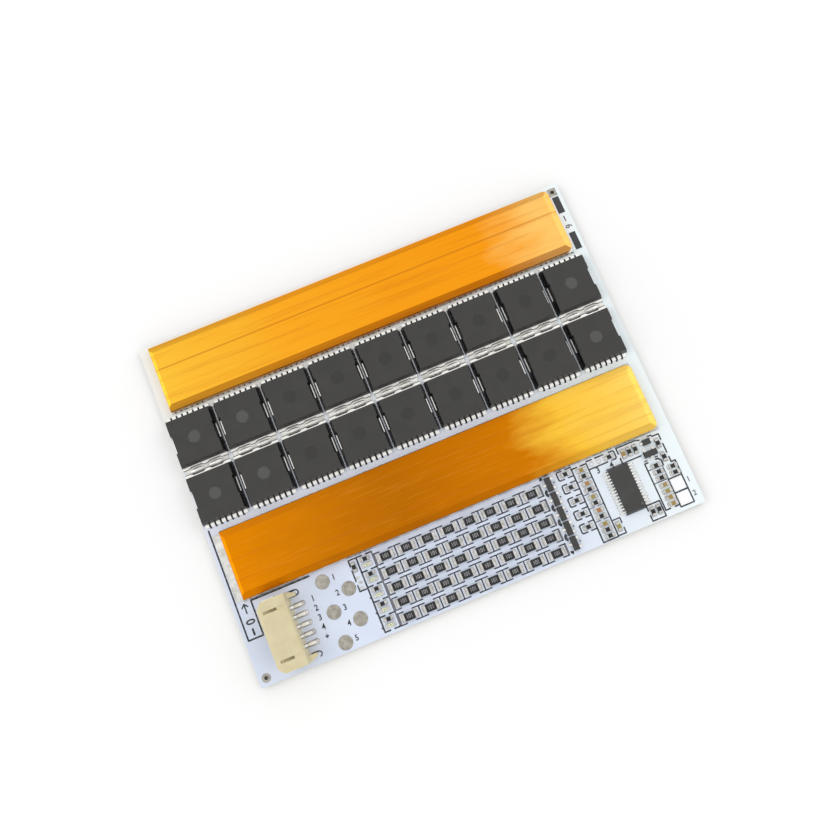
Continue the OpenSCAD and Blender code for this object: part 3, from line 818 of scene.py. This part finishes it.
def finish_piece(name: str, shape: bmesh.types.BMesh, material: bpy.types.Material) -> bpy.types.Object:
    """Make an object from a mesh in board millimetres and let it ride on the board.

    Args:
        name: The object's name.
        shape: The mesh, which is freed.
        material: Its material.

    Returns:
        The new object.
    """
    bmesh.ops.translate(shape, vec=ORIGIN, verts=shape.verts[:])
    bmesh.ops.scale(shape, vec=(MM, MM, MM), verts=shape.verts[:])
    mesh = bpy.data.meshes.new(name)
    shape.to_mesh(mesh)
    shape.free()
    mesh.materials.append(material)
    made = bpy.data.objects.new(name, mesh)
    bpy.context.scene.collection.objects.link(made)
    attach(made, "root")
    LOG.info("%s: %d faces", name, len(mesh.polygons))
    return made


def dress(node: str, material: bpy.types.Material) -> None:
    """Give a CAD node its material."""
    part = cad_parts[node]
    if not part.material_slots:
        part.data.materials.append(material)
    slots = part.material_slots
    for entry in slots:
        entry.material = material
    LOG.info("%s: %s", node, material.name)


# ---------------------------------------------------------------------------
# Studio
# ---------------------------------------------------------------------------

@dataclass
class Studio:
    """The camera, the table, and the light.

    Args:
        lens: The lens's focal length in millimetres, on a 36 mm wide sensor.
        eye: Where the camera is.
        target: The point of the board's upper face that it looks at.
        heading: The direction that is up in the view, clockwise from the board's
            long edge to the far side, in degrees.
        table_size: The side of the table.
        lamp_size: The side of a lamp's square diffuser.
        room_light: The strength of the light from all round.
    """

    lens: float = 36.47
    eye: Triple = (41.38, 9.59, 173.86)
    target: Triple = (49.80, 39.00, 0.0)
    heading: float = 22.43
    table_size: float = 3000.0
    lamp_size: float = 500.0
    room_light: float = 0.95

    def camera(self) -> None:
        """Set the camera over the board."""
        data = bpy.data.cameras.new("camera")
        data.lens = self.lens
        data.sensor_width = 36.0
        data.clip_start = 0.01
        data.clip_end = 50.0
        holder = bpy.data.objects.new("camera", data)
        look = (Vector(self.target) - Vector(self.eye)).normalized()
        turn = math.radians(self.heading)
        side = look.cross(Vector((math.sin(turn), math.cos(turn), 0))).normalized()
        up = side.cross(look)
        holder.matrix_world = Matrix.Translation((ORIGIN + Vector(self.eye)) * MM) @ Matrix(
            (side, up, -look)).transposed().to_4x4()
        bpy.context.scene.collection.objects.link(holder)
        bpy.context.scene.camera = holder

    def table(self) -> None:
        """Lay the white table under the board."""
        shape = rectangle((self.table_size * MM, self.table_size * MM))
        bmesh.ops.translate(shape, vec=(0, 0, BOARD_LOW.z * MM), verts=shape.verts[:])
        mesh = bpy.data.meshes.new("table")
        shape.to_mesh(mesh)
        shape.free()
        mesh.materials.append(StudioPaint().material())
        made = bpy.data.objects.new("table", mesh)
        bpy.context.scene.collection.objects.link(made)

    def lamp(self, name: str, place: Triple, watts: float) -> None:
        """Hang a soft lamp that faces the board.

        Args:
            name: The lamp's name.
            place: Where it hangs, in millimetres from the board's middle.
            watts: Its power.
        """
        data = bpy.data.lights.new(name, "AREA")
        data.size = self.lamp_size * MM
        data.energy = watts
        holder = bpy.data.objects.new(name, data)
        holder.location = Vector(place) * MM
        holder.rotation_euler = (-holder.location).to_track_quat("-Z", "Y").to_euler()
        bpy.context.scene.collection.objects.link(holder)

    def build(self) -> None:
        """Set up the camera, the table and the light."""
        self.camera()
        self.table()
        world = bpy.data.worlds.new("room")
        world.use_nodes = True
        room = next(n for n in world.node_tree.nodes if n.type == "BACKGROUND")
        room.inputs["Color"].default_value = linear("#ffffff")
        room.inputs["Strength"].default_value = self.room_light
        bpy.context.scene.world = world
        self.lamp("left_lamp", (-600, 100, 600), 0.9)
        self.lamp("right_lamp", (600, 150, 650), 0.66)
        bpy.context.scene.view_settings.view_transform = "Standard"


# ---------------------------------------------------------------------------
# Finishes of the frame's parts
# ---------------------------------------------------------------------------

@dataclass
class PartFinishes:
    """The finish of every part that the frame already holds."""

    solder: BrightTin = BrightTin("flowed_solder", "#ecebe6", "#c4c2bb", 0.28, 1.2, 0.03)
    land_tin: BrightTin = BrightTin("hot_air_tin", "#b8b3a8", "#97938a", 0.42, 0.5, 0.02)
    lead_tin: BrightTin = BrightTin("plated_lead", "#fbfaf6", "#eceae4", 0.32, 0.6, 0.01)
    end_tin: BrightTin = BrightTin("chip_end_tin", "#dcdbd9", "#b4b3b0", 0.34, 0.35, 0.015)
    nylon: Moulding = Moulding("natural_nylon", "#d6cba6", "#cec39c", 0.42, 1.53, 0.25)
    glaze: Moulding = Moulding("resistor_glaze", "#09090a", "#111112", 0.35, 1.5)
    ceramic: Moulding = Moulding("fired_titanate", "#a56c38", "#8b9048", 0.35, 1.6)
    lens: Moulding = Moulding("clear_epoxy", "#d9ddbf", "#cfd4b4", 0.2, 1.54, 0.3)
    # The third colour is painted shade on the small parts' sides.
    compound: MouldCompound = MouldCompound("small_mould_compound", "#3c3c3c", "#141414")

    def dress_all(self) -> None:
        """Give every part its finish."""
        dress("circuit_board", SolderMask().material())
        far, near = box_of("charge_busbar"), box_of("battery_busbar")
        # Colour stops of stains mixed with painted reflection; the edge bands get painted shade.
        dress("charge_busbar", BrushedCopper("far_bar_copper", far, (
            (0.0, "#fbc33c"), (0.3, "#fdae26"), (0.55, "#fba21a"), (0.82, "#f89c17"),
            (0.95, "#fcc468")), far_band_shade=0.4, near_band_shade=1.0,
            groove=far.centre.y + 1.9).material())
        # Stains mixed with painted reflection; the bright yellow right end is painted reflection.
        dress("battery_busbar", BrushedCopper("near_bar_copper", near, (
            (0.0, "#e38604"), (0.2, "#cd7908"), (0.4, "#bd6c06"), (0.68, "#d27a05"),
            (0.82, "#fbc63e"), (1.0, "#fbd468"))).material())
        solder = self.solder.material()
        dress("busbar_solder", solder)
        dress("drain_solder", solder)
        dress("tinned_pads", self.land_tin.material())
        dress("connector_housing", self.nylon.material())
        lead = self.lead_tin.material()
        for node in ("connector_contacts", "connector_hold_downs", "controller_leads",
                     "balance_transistor_leads", "regulator_leads", "diode_leads"):
            dress(node, lead)
        compound = self.compound.material()
        for node in ("controller_body", "balance_transistor_bodies", "regulator_body",
                     "diode_body"):
            dress(node, compound)
        end = self.end_tin.material()
        for node in ("balance_resistor_ends", "lamp_ends", "chip_ends"):
            dress(node, end)
        glaze = self.glaze.material()
        dress("balance_resistor_cores", glaze)
        dress("chip_resistor_cores", glaze)
        dress("chip_capacitor_cores", self.ceramic.material())
        dress("lamp_bodies", self.lens.material())
        self.power_packages(lead)

    def power_packages(self, lead: bpy.types.Material) -> None:
        """Dress the eighteen power packages, each with its own ejector mark, paler as painted
        reflection on three of them.
        """
        for row in ("charge", "discharge"):
            for number in range(1, 10):
                body = f"{row}_mosfet_body_{number}"
                centre = box_of(body).centre
                # Painted reflection: the marks on packages 1, 2 and 9 are paler; the others are a
                # little darker than the face.
                mark = "#4a4a48" if number in (1, 2, 9) else "#2a2927"
                dress(body, MouldCompound(f"power_mould_{row}_{number}", mark=mark,
                                          mark_place=tuple(centre)).material())
                dress(f"{row}_mosfet_leadframe_{number}", lead)


# ---------------------------------------------------------------------------
# The legend: ink screened on the board
# ---------------------------------------------------------------------------

@dataclass
class Legend:
    """Everything screened on the upper face of the board, and the black fields of painted shade round
    the power packages.

    Args:
        bold: Width of the thick line.
        fine: Width of the thin line.
        depth: Thickness of the ink.
        lead_pitch: Pitch of the power packages' leads.
        spread: How much wider the ink gets than the pen.
    """

    bold: float = 0.32
    fine: float = 0.18
    depth: float = 0.02
    lead_pitch: float = 1.2
    spread: float = 0.08

    def __post_init__(self) -> None:
        """Start the two ink layers."""
        self.black = Layer("legend_black", 0.0, self.depth, self.spread)
        self.grey = Layer("legend_grey", 0.0, self.depth, self.spread)

    def battery_terminal(self) -> None:
        """The line, the arrow and the marks at the battery's negative end."""
        ink, bar = self.black, box_of("battery_busbar")
        left, near = bar.low.x, bar.low.y
        ink.stroke((left - 2.18, near + 15.7), (left - 2.18, near - 7.75),
                   (left + 1.0, near - 7.75), (left + 1.0, near - 0.5),
                   (left + 13.5, near - 0.5), width=0.26)
        ink.stroke((left - 0.6, near - 2.6), (left - 0.6, near - 0.75), width=0.2)
        ink.stroke((left - 1.2, near - 1.35), (left - 0.6, near - 0.7),
                   (left, near - 1.35), width=0.2)
        ink.write("0", (left - 0.6, near - 4.4), 1.9, turn=-90)
        ink.stroke((left - 0.6, near - 7.0), (left - 0.6, near - 5.9), width=self.bold)

    def connector(self) -> None:
        """The hooks round the connector's feet and the numbers of its pins."""
        ink = self.black
        ink.stroke((9.25, 15.42), (12.9, 15.42), width=0.27)
        ink.arc((12.9, 14.88), 0.54, -90, 180, 0.27)
        ink.stroke((12.9, 14.34), (11.2, 14.34), width=0.27)
        ink.stroke((11.7, 2.45), (13.05, 2.45), width=0.24)
        ink.arc((13.05, 1.92), 0.53, -90, 180, 0.24)
        self.grey.stroke((5.2, 15.1), (5.9, 15.62), (7.4, 15.78), width=0.1)
        pins = solid_boxes("connector_contacts")
        for mark, pin in zip(("+", "4", "3", "2", "1"), pins):
            ink.write(mark, (15.7, pin.centre.y + 0.05), 1.25)

    def test_pads(self) -> None:
        """The numbers of the round test pads."""
        pads = [b for b in solid_boxes("tinned_pads") if b.size.x > 2.5]
        for mark, pad in zip(("5", "4", "3", "2", "1"), pads):
            side = 2.4 if pad.centre.x < 20 else -2.4
            self.black.write(mark, (pad.centre.x + side, pad.centre.y + 0.05), 1.2)

    def balance_rows(self) -> None:
        """The brackets and bars round the rows of balancing resistors."""
        for row in rows_of(solid_boxes("balance_resistor_cores")):
            y = row[0].centre.y
            half = (row[1].centre.x - row[0].centre.x) / 2
            for number, chip in enumerate(row):
                x = chip.centre.x
                for side in (-1, 1):
                    for reach in (-1, 1):
                        self.black.stroke((x + reach * 1.0, y + side * 1.2),
                                          (x + reach * (half - 0.06), y + side * 1.2),
                                          width=self.fine)
                if number:
                    self.black.block((x - half, y), (0.28, 2.3))
            first, last = row[0].centre.x - half + 0.06, row[-1].centre.x + half - 0.06
            for x in (first, last):
                self.grey.stroke((x, y - 1.15), (x, y + 1.15), width=0.36)

    def lamp_column(self) -> None:
        """The frames round the lamps and their resistors."""
        ink = self.black
        lamps = solid_boxes("lamp_bodies")
        x = lamps[0].centre.x
        left, right = x - 1.6, x + 1.7
        edges = [lamp.centre.y + 2.1 for lamp in lamps]
        edges = [edges[0] - 3.05] + edges
        ink.stroke((left, edges[0]), (left, edges[-1]), width=0.25)
        self.grey.stroke((right, edges[0]), (right, edges[-1]), width=0.24)
        for y in edges:
            ink.stroke((left, y), (x - 0.45, y), width=0.24)
            ink.stroke((x + 0.5, y), (right, y), width=0.24)
        for lamp in lamps[:3]:
            ink.disc((left - 0.16, lamp.centre.y - 0.05), 0.34, corners=3, turn=180)
        for low, high in ((15.35, 16.55), (12.2, 14.4), (10.05, 11.3)):
            ink.stroke((left - 1.7, low), (left - 1.7, high))
        for y in (16.6, 10.05):
            ink.stroke((left - 1.7, y), (left, y))

    def transistor_column(self) -> None:
        """The notches and dots at the balancing transistors."""
        bodies = solid_boxes("balance_transistor_bodies")
        for lower, upper in zip(bodies, bodies[1:]):
            y = (lower.high.y + upper.low.y) / 2
            self.black.arc((lower.low.x + 0.1, y), 0.62, 115, 130, 0.6)
        first, last = bodies[0], bodies[-1]
        self.black.arc((first.low.x + 0.1, first.low.y + 0.25), 0.62, 180, 60, 0.6)
        self.black.arc((last.low.x + 0.1, last.high.y - 0.2), 0.62, 120, 60, 0.6)
        for body in bodies:
            self.black.disc((body.high.x + 0.6, body.centre.y), 0.16, corners=10)

    def base_resistors(self) -> None:
        """The brackets round the base resistors and the line beside them."""
        chips = [b for b in solid_boxes("chip_resistor_cores") if 71 < b.centre.x < 74]
        right = chips[0].centre.x + 1.6
        for chip in chips:
            x, y = chip.centre.x, chip.centre.y
            left = x - 1.6
            self.black.stroke((x - 0.5, y + 0.9), (left + 0.2, y + 0.9), (left, y + 0.7),
                              (left, y - 0.7), (left + 0.2, y - 0.9), (x - 0.5, y - 0.9),
                              width=0.22)
            for side in (-0.9, 0.9):
                self.black.stroke((x + 0.4, y + side), (right, y + side), width=0.2)
        self.black.stroke((right, 0.3), (right, 16.4), width=0.24)

    def filter_column(self) -> None:
        """The frame round the filter chips."""
        ink = self.black
        right = 77.3
        ink.stroke((74.0, 0.3), (right, 0.3), (right, 16.25), (76.0, 16.25))
        ink.stroke((75.2, 16.25), (74.0, 16.25))
        for y in (13.3, 10.4, 7.5, 4.6):
            self.grey.stroke((74.2, y), (75.2, y), width=0.14)
            self.grey.stroke((76.0, y), (77.1, y), width=0.14)

    def controller(self) -> None:
        """The frames and numbers round the controller."""
        ink = self.black
        body = box_of("controller_body")
        leads = solid_boxes("controller_leads")
        ink.stroke((77.5, 16.6), (78.6, 16.6))
        ink.stroke((79.4, 16.6), (81.2, 16.6))
        ink.stroke((82.5, 16.6), (83.3, 16.6), (83.55, 16.35), (83.55, 15.1),
                   (83.3, 14.85), (82.5, 14.85))
        ink.stroke((81.5, 14.85), (77.5, 14.85))
        ink.write("3", (79.0, 14.0), 1.35)
        ink.write("4", (82.0, 13.95), 1.35)
        ink.stroke((77.5, 3.65), (79.05, 3.65), (79.05, 2.6), width=0.2)
        ink.stroke((79.05, 1.5), (79.05, 0.4), (77.4, 0.4), width=0.2)
        for side, x in ((-1, body.low.x - 0.05), (1, body.high.x + 0.05)):
            for lead in leads:
                if side * (lead.centre.x - body.centre.x) > 0:
                    ink.disc((x + side * 0.1, lead.centre.y + 0.33), 0.19, corners=3,
                             turn=90 - side * 90)
        self.grey.stroke((body.low.x, body.high.y + 0.12), (body.high.x, body.high.y + 0.12),
                         width=0.16)
        self.grey.stroke((body.low.x, body.low.y - 0.12), (body.high.x, body.low.y - 0.12),
                         width=0.16)

    def standing_chips(self) -> None:
        """The frames round the chips that stand at the controller's two ends."""
        ink = self.black
        ink.stroke((84.95, 1.6), (84.95, 0.4), (87.9, 0.4), (87.9, 3.7), (84.95, 3.7),
                   (84.95, 2.6))
        ink.stroke((84.2, 15.5), (84.2, 16.75), (88.4, 16.75), (89.3, 16.5))
        ink.stroke((84.2, 14.5), (84.2, 13.4), (88.3, 13.4))

    def sense_cluster(self) -> None:
        """The frames round the chips, regulator and diode by the right edge."""
        ink = self.black
        ink.stroke((91.2, 16.55), (92.0, 16.5))
        ink.stroke((92.1, 16.2), (93.5, 16.2), (93.5, 15.0))
        ink.stroke((93.5, 14.0), (93.5, 12.1))
        ink.stroke((93.5, 11.1), (93.5, 10.0), (94.4, 10.0), (94.4, 7.1))
        ink.stroke((88.3, 1.4), (88.3, 11.55), (89.0, 11.55))
        ink.stroke((90.8, 11.6), (91.3, 11.6), (91.75, 11.0), (91.75, 10.0), width=0.28)
        ink.stroke((88.5, 12.0), (89.0, 12.0), width=0.2)
        ink.stroke((90.9, 12.05), (91.4, 12.05), width=0.2)
        ink.stroke((88.3, 1.4), (89.3, 1.4))
        ink.stroke((90.4, 1.4), (91.4, 1.4))
        for y in (10.0, 7.1):
            self.grey.stroke((88.5, y), (91.3, y), width=0.14)
        self.grey.stroke((91.5, 7.1), (91.5, 9.9), width=0.14)
        ink.frame((91.4, 0.85), (94.35, 6.9), 0.3, 0.2)
        ink.stroke((91.4, 3.85), (94.35, 3.85), width=0.28)
        for mark, y in (("1", 5.4), ("2", 2.4)):
            self.grey.write(mark, (95.2, y), 1.15)

    def charge_terminal(self) -> None:
        """The marks at the charge bar's right end."""
        self.grey.stroke((95.0, 65.9), (95.0, 66.9), width=0.2)
        self.grey.write("6", (95.05, 64.5), 1.5, turn=-90)

    def power_rows(self) -> None:
        """The black fields, painted shade, between the power packages and between their leads."""
        for row, way in (("charge", 1), ("discharge", -1)):
            bodies = [box_of(f"{row}_mosfet_body_{n}") for n in range(1, 10)]
            # Painted shade: black fields in the gaps between neighbouring packages.
            for left, right in zip(bodies, bodies[1:]):
                middle = (left.high.x + right.low.x) / 2
                low, high = left.low.y + 0.02, left.high.y - 0.15
                for inner, outer in ((left.high.x - 0.7, middle - 0.12),
                                     (middle + 0.12, right.low.x + 0.7)):
                    self.black.block(((inner + outer) / 2, (low + high) / 2),
                                     (outer - inner, high - low))
            for number, body in enumerate(bodies, 1):
                leads = solid_boxes(f"{row}_mosfet_leadframe_{number}")
                tip = (max(b.high.y for b in leads) if way > 0
                       else min(b.low.y for b in leads))
                root = body.high.y if way > 0 else body.low.y
                end = tip + way * (0.08 if way > 0 else 0.3)
                # Painted shade: black fields between the leads of each package.
                for gap in range(-3, 4):
                    self.black.block((body.centre.x + gap * self.lead_pitch,
                                      (root - way * 0.1 + end) / 2),
                                     (0.42, abs(end - root) + 0.1))

    def build(self) -> None:
        """Print every part of the legend."""
        for part in (self.battery_terminal, self.connector, self.test_pads,
                     self.balance_rows, self.lamp_column, self.transistor_column,
                     self.base_resistors, self.filter_column, self.controller,
                     self.standing_chips, self.sense_cluster, self.charge_terminal,
                     self.power_rows):
            part()
        self.black.piece(ScreenInk(Shade.FULL).material())
        self.grey.piece(ScreenInk(Shade.WORN).material())


# ---------------------------------------------------------------------------
# Lands and solder
# ---------------------------------------------------------------------------

@dataclass
class Lands:
    """The tinned lands that show round the parts, the empty ones, and grey rims of painted shade round
    some lands.

    Args:
        thickness: Height of tin and copper over the mask.
        margin: How far a chip's land shows beside the chip.
        bare_blocks: The centres of the oblong lands that carry no part.
        bare_rings: The centres of the ring-shaped ones.
        white_squares: The centres of the squares with a second coat of white.
    """

    thickness: float = 0.035
    margin: float = 0.05
    bare_blocks: tuple[Pair, ...] = ((25.6, 12.7), (25.7, 11.7), (25.6, 10.6))
    bare_rings: tuple[Pair, ...] = ((78.25, 15.7), (79.85, 15.7))
    white_squares: tuple[Pair, ...] = ((92.88, 5.4), (92.88, 2.35))

    def __post_init__(self) -> None:
        """Start the layers."""
        self.tin = Layer("part_lands", 0.0, self.thickness)
        self.rim = Layer("land_edge_shade", 0.0, self.thickness * 0.5)
        self.bare = Layer("bare_lands", 0.0, self.thickness)
        self.white = Layer("masked_squares", 0.0, self.thickness)

    def under_chips(self) -> None:
        """The lands that show round the ends of the chips, with grey rims of painted shade round the
        small chips' and the lamps' lands.
        """
        for node, rim in (("balance_resistor_ends", 0.0), ("chip_ends", 0.1),
                          ("lamp_ends", 0.1)):
            for end in solid_boxes(node):
                x, y, size = end.centre.x, end.centre.y, end.size
                self.tin.block((x, y), (size.x + 2 * self.margin, size.y + 2 * self.margin),
                               0.12)
                if not rim:
                    continue
                # Painted shade: a grey rim, a little wider than the land, round its edge.
                self.rim.block((x, y), (size.x + 2 * self.margin + rim,
                                        size.y + 2 * self.margin + rim), 0.16)

    def under_leads(self) -> None:
        """The lands under the feet of the small moulded parts."""
        middle = box_of("controller_body").centre.x
        for lead in solid_boxes("controller_leads"):
            out = 1 if lead.centre.x > middle else -1
            tip = lead.high.x if out > 0 else lead.low.x
            self.tin.block((tip - out * 0.3, lead.centre.y), (1.15, 0.4), 0.19)
        for node in ("balance_transistor_leads", "regulator_leads", "diode_leads"):
            for lead in solid_boxes(node):
                self.tin.block((lead.centre.x, lead.centre.y),
                               (lead.size.x + 0.3, lead.size.y + 0.35), 0.12)

    def empty(self) -> None:
        """The lands that carry no part."""
        for centre in self.bare_blocks:
            self.bare.block(centre, (0.85, 0.6), 0.1)
        for centre in self.bare_rings:
            self.bare.arc(centre, 0.42, 0, 360, 0.22)
        for centre in self.white_squares:
            self.white.block(centre, (2.3, 2.4), 0.1)

    def build(self) -> None:
        """Lay all the lands."""
        self.under_chips()
        self.under_leads()
        self.empty()
        tin = BrightTin("land_solder", "#dddddb", "#bcbbb8", 0.36, 0.5, 0.02).material()
        self.tin.piece(tin, "solder")
        self.bare.piece(tin, "tinned_land")
        # The grey rims are painted shade round the lands' edges.
        self.rim.piece(ScreenInk(Shade.WORN).material())
        self.white.piece(Moulding("white_legend", "#fbfbfb", "#f4f5f7", 0.6).material())


@dataclass
class DrainBand:
    """The solder where the two rows of packages meet, and the painted shade along the tabs' edges and
    in the side recesses.

    Args:
        line: Width of the black line of painted shade along a tab's edge.
        notch: Middle length, depth, pitch and slope of the tab's notches.
        bead: Half the length, width and height of a solder bead.
        sink: How far the painted shade starts under the metal's face.
        recess: Width and length of the dark block of painted shade in a package's side recess.
    """

    line: float = 0.13
    notch: tuple[float, float, float, float] = (2.7, 0.3, 4.1, 0.25)
    bead: Triple = (1.5, 0.5, 0.2)
    sink: float = 0.01
    recess: Pair = (0.34, 3.2)

    def edge_points(self, body: Box, edge: float, way: int) -> list[Pair]:
        """The corners of one tab's outer edge, from left to right.

        Args:
            body: The package's box.
            edge: The distance of the tab's edge from the board's near edge.
            way: 1 where the tab's metal lies beyond the edge, -1 where before.

        Returns:
            The corners.
        """
        length, depth, pitch, slope = self.notch
        points = [(body.low.x + 0.1, edge)]
        for side in (-1, 1):
            x = body.centre.x + side * pitch / 2
            points += [(x - length / 2 - slope, edge),
                       (x - length / 2 + slope, edge + way * depth),
                       (x + length / 2 - slope, edge + way * depth),
                       (x + length / 2 + slope, edge)]
        return points + [(body.high.x - 0.1, edge)]

    def build(self) -> None:
        """Add the painted shade along the tabs' edges, the solder beads and the painted shade in the
        side recesses.
        """
        thick = box_of("charge_mosfet_leadframe_1").high.z
        tab_shade = Layer("tab_edge_shade", thick - self.sink, 0.02)
        recess_shading = Layer("recess_shade_block", thick - self.sink, 0.03)
        beads = bmesh.new()
        for number in range(1, 10):
            upper = box_of(f"charge_mosfet_leadframe_{number}")
            lower = box_of(f"discharge_mosfet_leadframe_{number}")
            for row, edge, way in (("charge", upper.low.y, 1), ("discharge", lower.high.y, -1)):
                body = box_of(f"{row}_mosfet_body_{number}")
                points = self.edge_points(body, edge + way * self.line / 2, way)
                # Painted shade: a black line along the tab's notched edge.
                tab_shade.stroke(*points, width=self.line)
                y = body.centre.y - way * 0.24
                for side in (-1, 1):
                    x = body.centre.x + side * (body.size.x / 2 - 0.46)
                    # Painted shade: a dark block that fills the side recess.
                    recess_shading.block((x, y), self.recess)
            middle = (upper.low.y + lower.high.y) / 2
            for side in (-1, 1):
                bead = bmesh.ops.create_uvsphere(beads, u_segments=20, v_segments=10, radius=1)
                x = upper.centre.x + side * self.notch[2] / 2
                bmesh.ops.transform(
                    beads, verts=bead["verts"],
                    matrix=Matrix.Translation((x, middle, thick * 0.45))
                    @ Matrix.Diagonal((*self.bead, 1)))
        tab_shade.piece(ScreenInk(Shade.FULL).material())
        # Dark compound that stands in for the shade in the side recesses.
        recess_shading.piece(MouldCompound("recess_shade_compound", "#141413", "#0d0d0d").material(),
                    "power_mould_compound")
        finish_piece("drain_beads", beads,
                     BrightTin("bead_solder", "#f4f3ef", "#dddbd4", 0.22, 0.9, 0.02).material())


@dataclass
class PinJoints:
    """The solder round the tails of the connector's pins.

    Args:
        reach: How far the solder runs beyond a tail.
        width: Width of the mound.
        tail: Length of tail that the mound covers.
        shoulders: How far each ring of the mound draws in, and how far it rises.
    """

    reach: float = 0.7
    width: float = 1.15
    tail: float = 2.0
    shoulders: tuple[Pair, ...] = ((0.1, 0.12), (0.13, 0.1), (0.16, 0.08))

    def build(self) -> None:
        """Add a mound for each pin."""
        mounds = bmesh.new()
        for pin in solid_boxes("connector_contacts"):
            length = self.tail + self.reach
            shape = rectangle((length, self.width), self.width * 0.4)
            face = shape.faces[:]
            for inset, rise in self.shoulders:
                bmesh.ops.inset_individual(shape, faces=face, thickness=inset,
                                           use_even_offset=True)
                bmesh.ops.translate(shape, vec=(0, 0, rise), verts=face[0].verts)
            rim = [e for e in shape.edges if e.is_boundary]
            bmesh.ops.holes_fill(shape, edges=rim)
            bmesh.ops.recalc_face_normals(shape, faces=shape.faces[:])
            middle = pin.high.x + self.reach - length / 2
            bmesh.ops.translate(shape, vec=(middle, pin.centre.y, 0.0), verts=shape.verts[:])
            pour(shape, mounds)
        finish_piece("pin_solder", mounds,
                     BrightTin("mound_solder", "#d8d3d0", "#a8a4a2", 0.3, 0.8, 0.03).material())


@dataclass
class PartMarks:
    """Figures and dots on the parts themselves.

    Args:
        value: The figures on a balancing resistor.
        figure: The height of those figures.
        die: The radius of the dot in a lamp.
        dimple: The radius of the mark at the controller's first pin.
        sink: How far a mark starts under the face that it lies on.
    """

    value: str = "101"
    figure: float = 0.85
    die: float = 0.13
    dimple: float = 0.36
    sink: float = 0.005

    def build(self) -> None:
        """Print the resistors' values, the lamps' dots and the first-pin dimple."""
        cores = solid_boxes("balance_resistor_cores")
        values = Layer("resistor_values", cores[0].high.z - self.sink, 0.015)
        for core in cores:
            values.write(self.value, (core.centre.x, core.centre.y), self.figure, squeeze=0.8)
        values.piece(Moulding("value_ink", "#9a9a9d", "#828286", 0.5).material())
        lamps = solid_boxes("lamp_bodies")
        dots = Layer("lamp_dies", lamps[0].high.z - self.sink, 0.012)
        for lamp in lamps:
            dots.disc((lamp.centre.x, lamp.centre.y), self.die, corners=10)
        dots.piece(Moulding("lamp_die", "#8d9070", "#7b7f63", 0.4).material(), "lamp_resin")
        body = box_of("controller_body")
        dimple = Layer("first_pin_mark", body.high.z - self.sink, 0.012)
        dimple.disc((body.high.x - 0.7, body.low.y + 0.9), self.dimple, corners=20)
        dimple.piece(MouldCompound("polished_mould", "#6a6a69", "#6a6a69").material(),
                     "mould_compound")


@dataclass
class TerminalBars:
    """The two black bars at the charge bar's right end.

    Args:
        bars: The centre and the size of each.
        thickness: How far they stand off the board.
    """

    bars: tuple[tuple[Pair, Pair], ...] = (((95.02, 69.75), (1.45, 3.9)),
                                           ((95.1, 61.0), (1.4, 4.0)))
    thickness: float = 0.035

    def build(self) -> None:
        """Add the bars."""
        layer = Layer("terminal_bars", 0.0, self.thickness)
        for centre, size in self.bars:
            layer.block(centre, size, 0.05)
        layer.piece(Moulding("bar_ink", "#3a3a3e", "#303034", 0.5).material())


def main() -> None:
    """Build the looks of the board, piece by piece."""
    logging.basicConfig(level=logging.INFO, format="%(name)s: %(message)s")
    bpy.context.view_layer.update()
    Studio().build()
    PartFinishes().dress_all()
    Legend().build()
    Lands().build()
    DrainBand().build()
    PinJoints().build()
    PartMarks().build()
    TerminalBars().build()


if __name__ == "__main__":
    main()
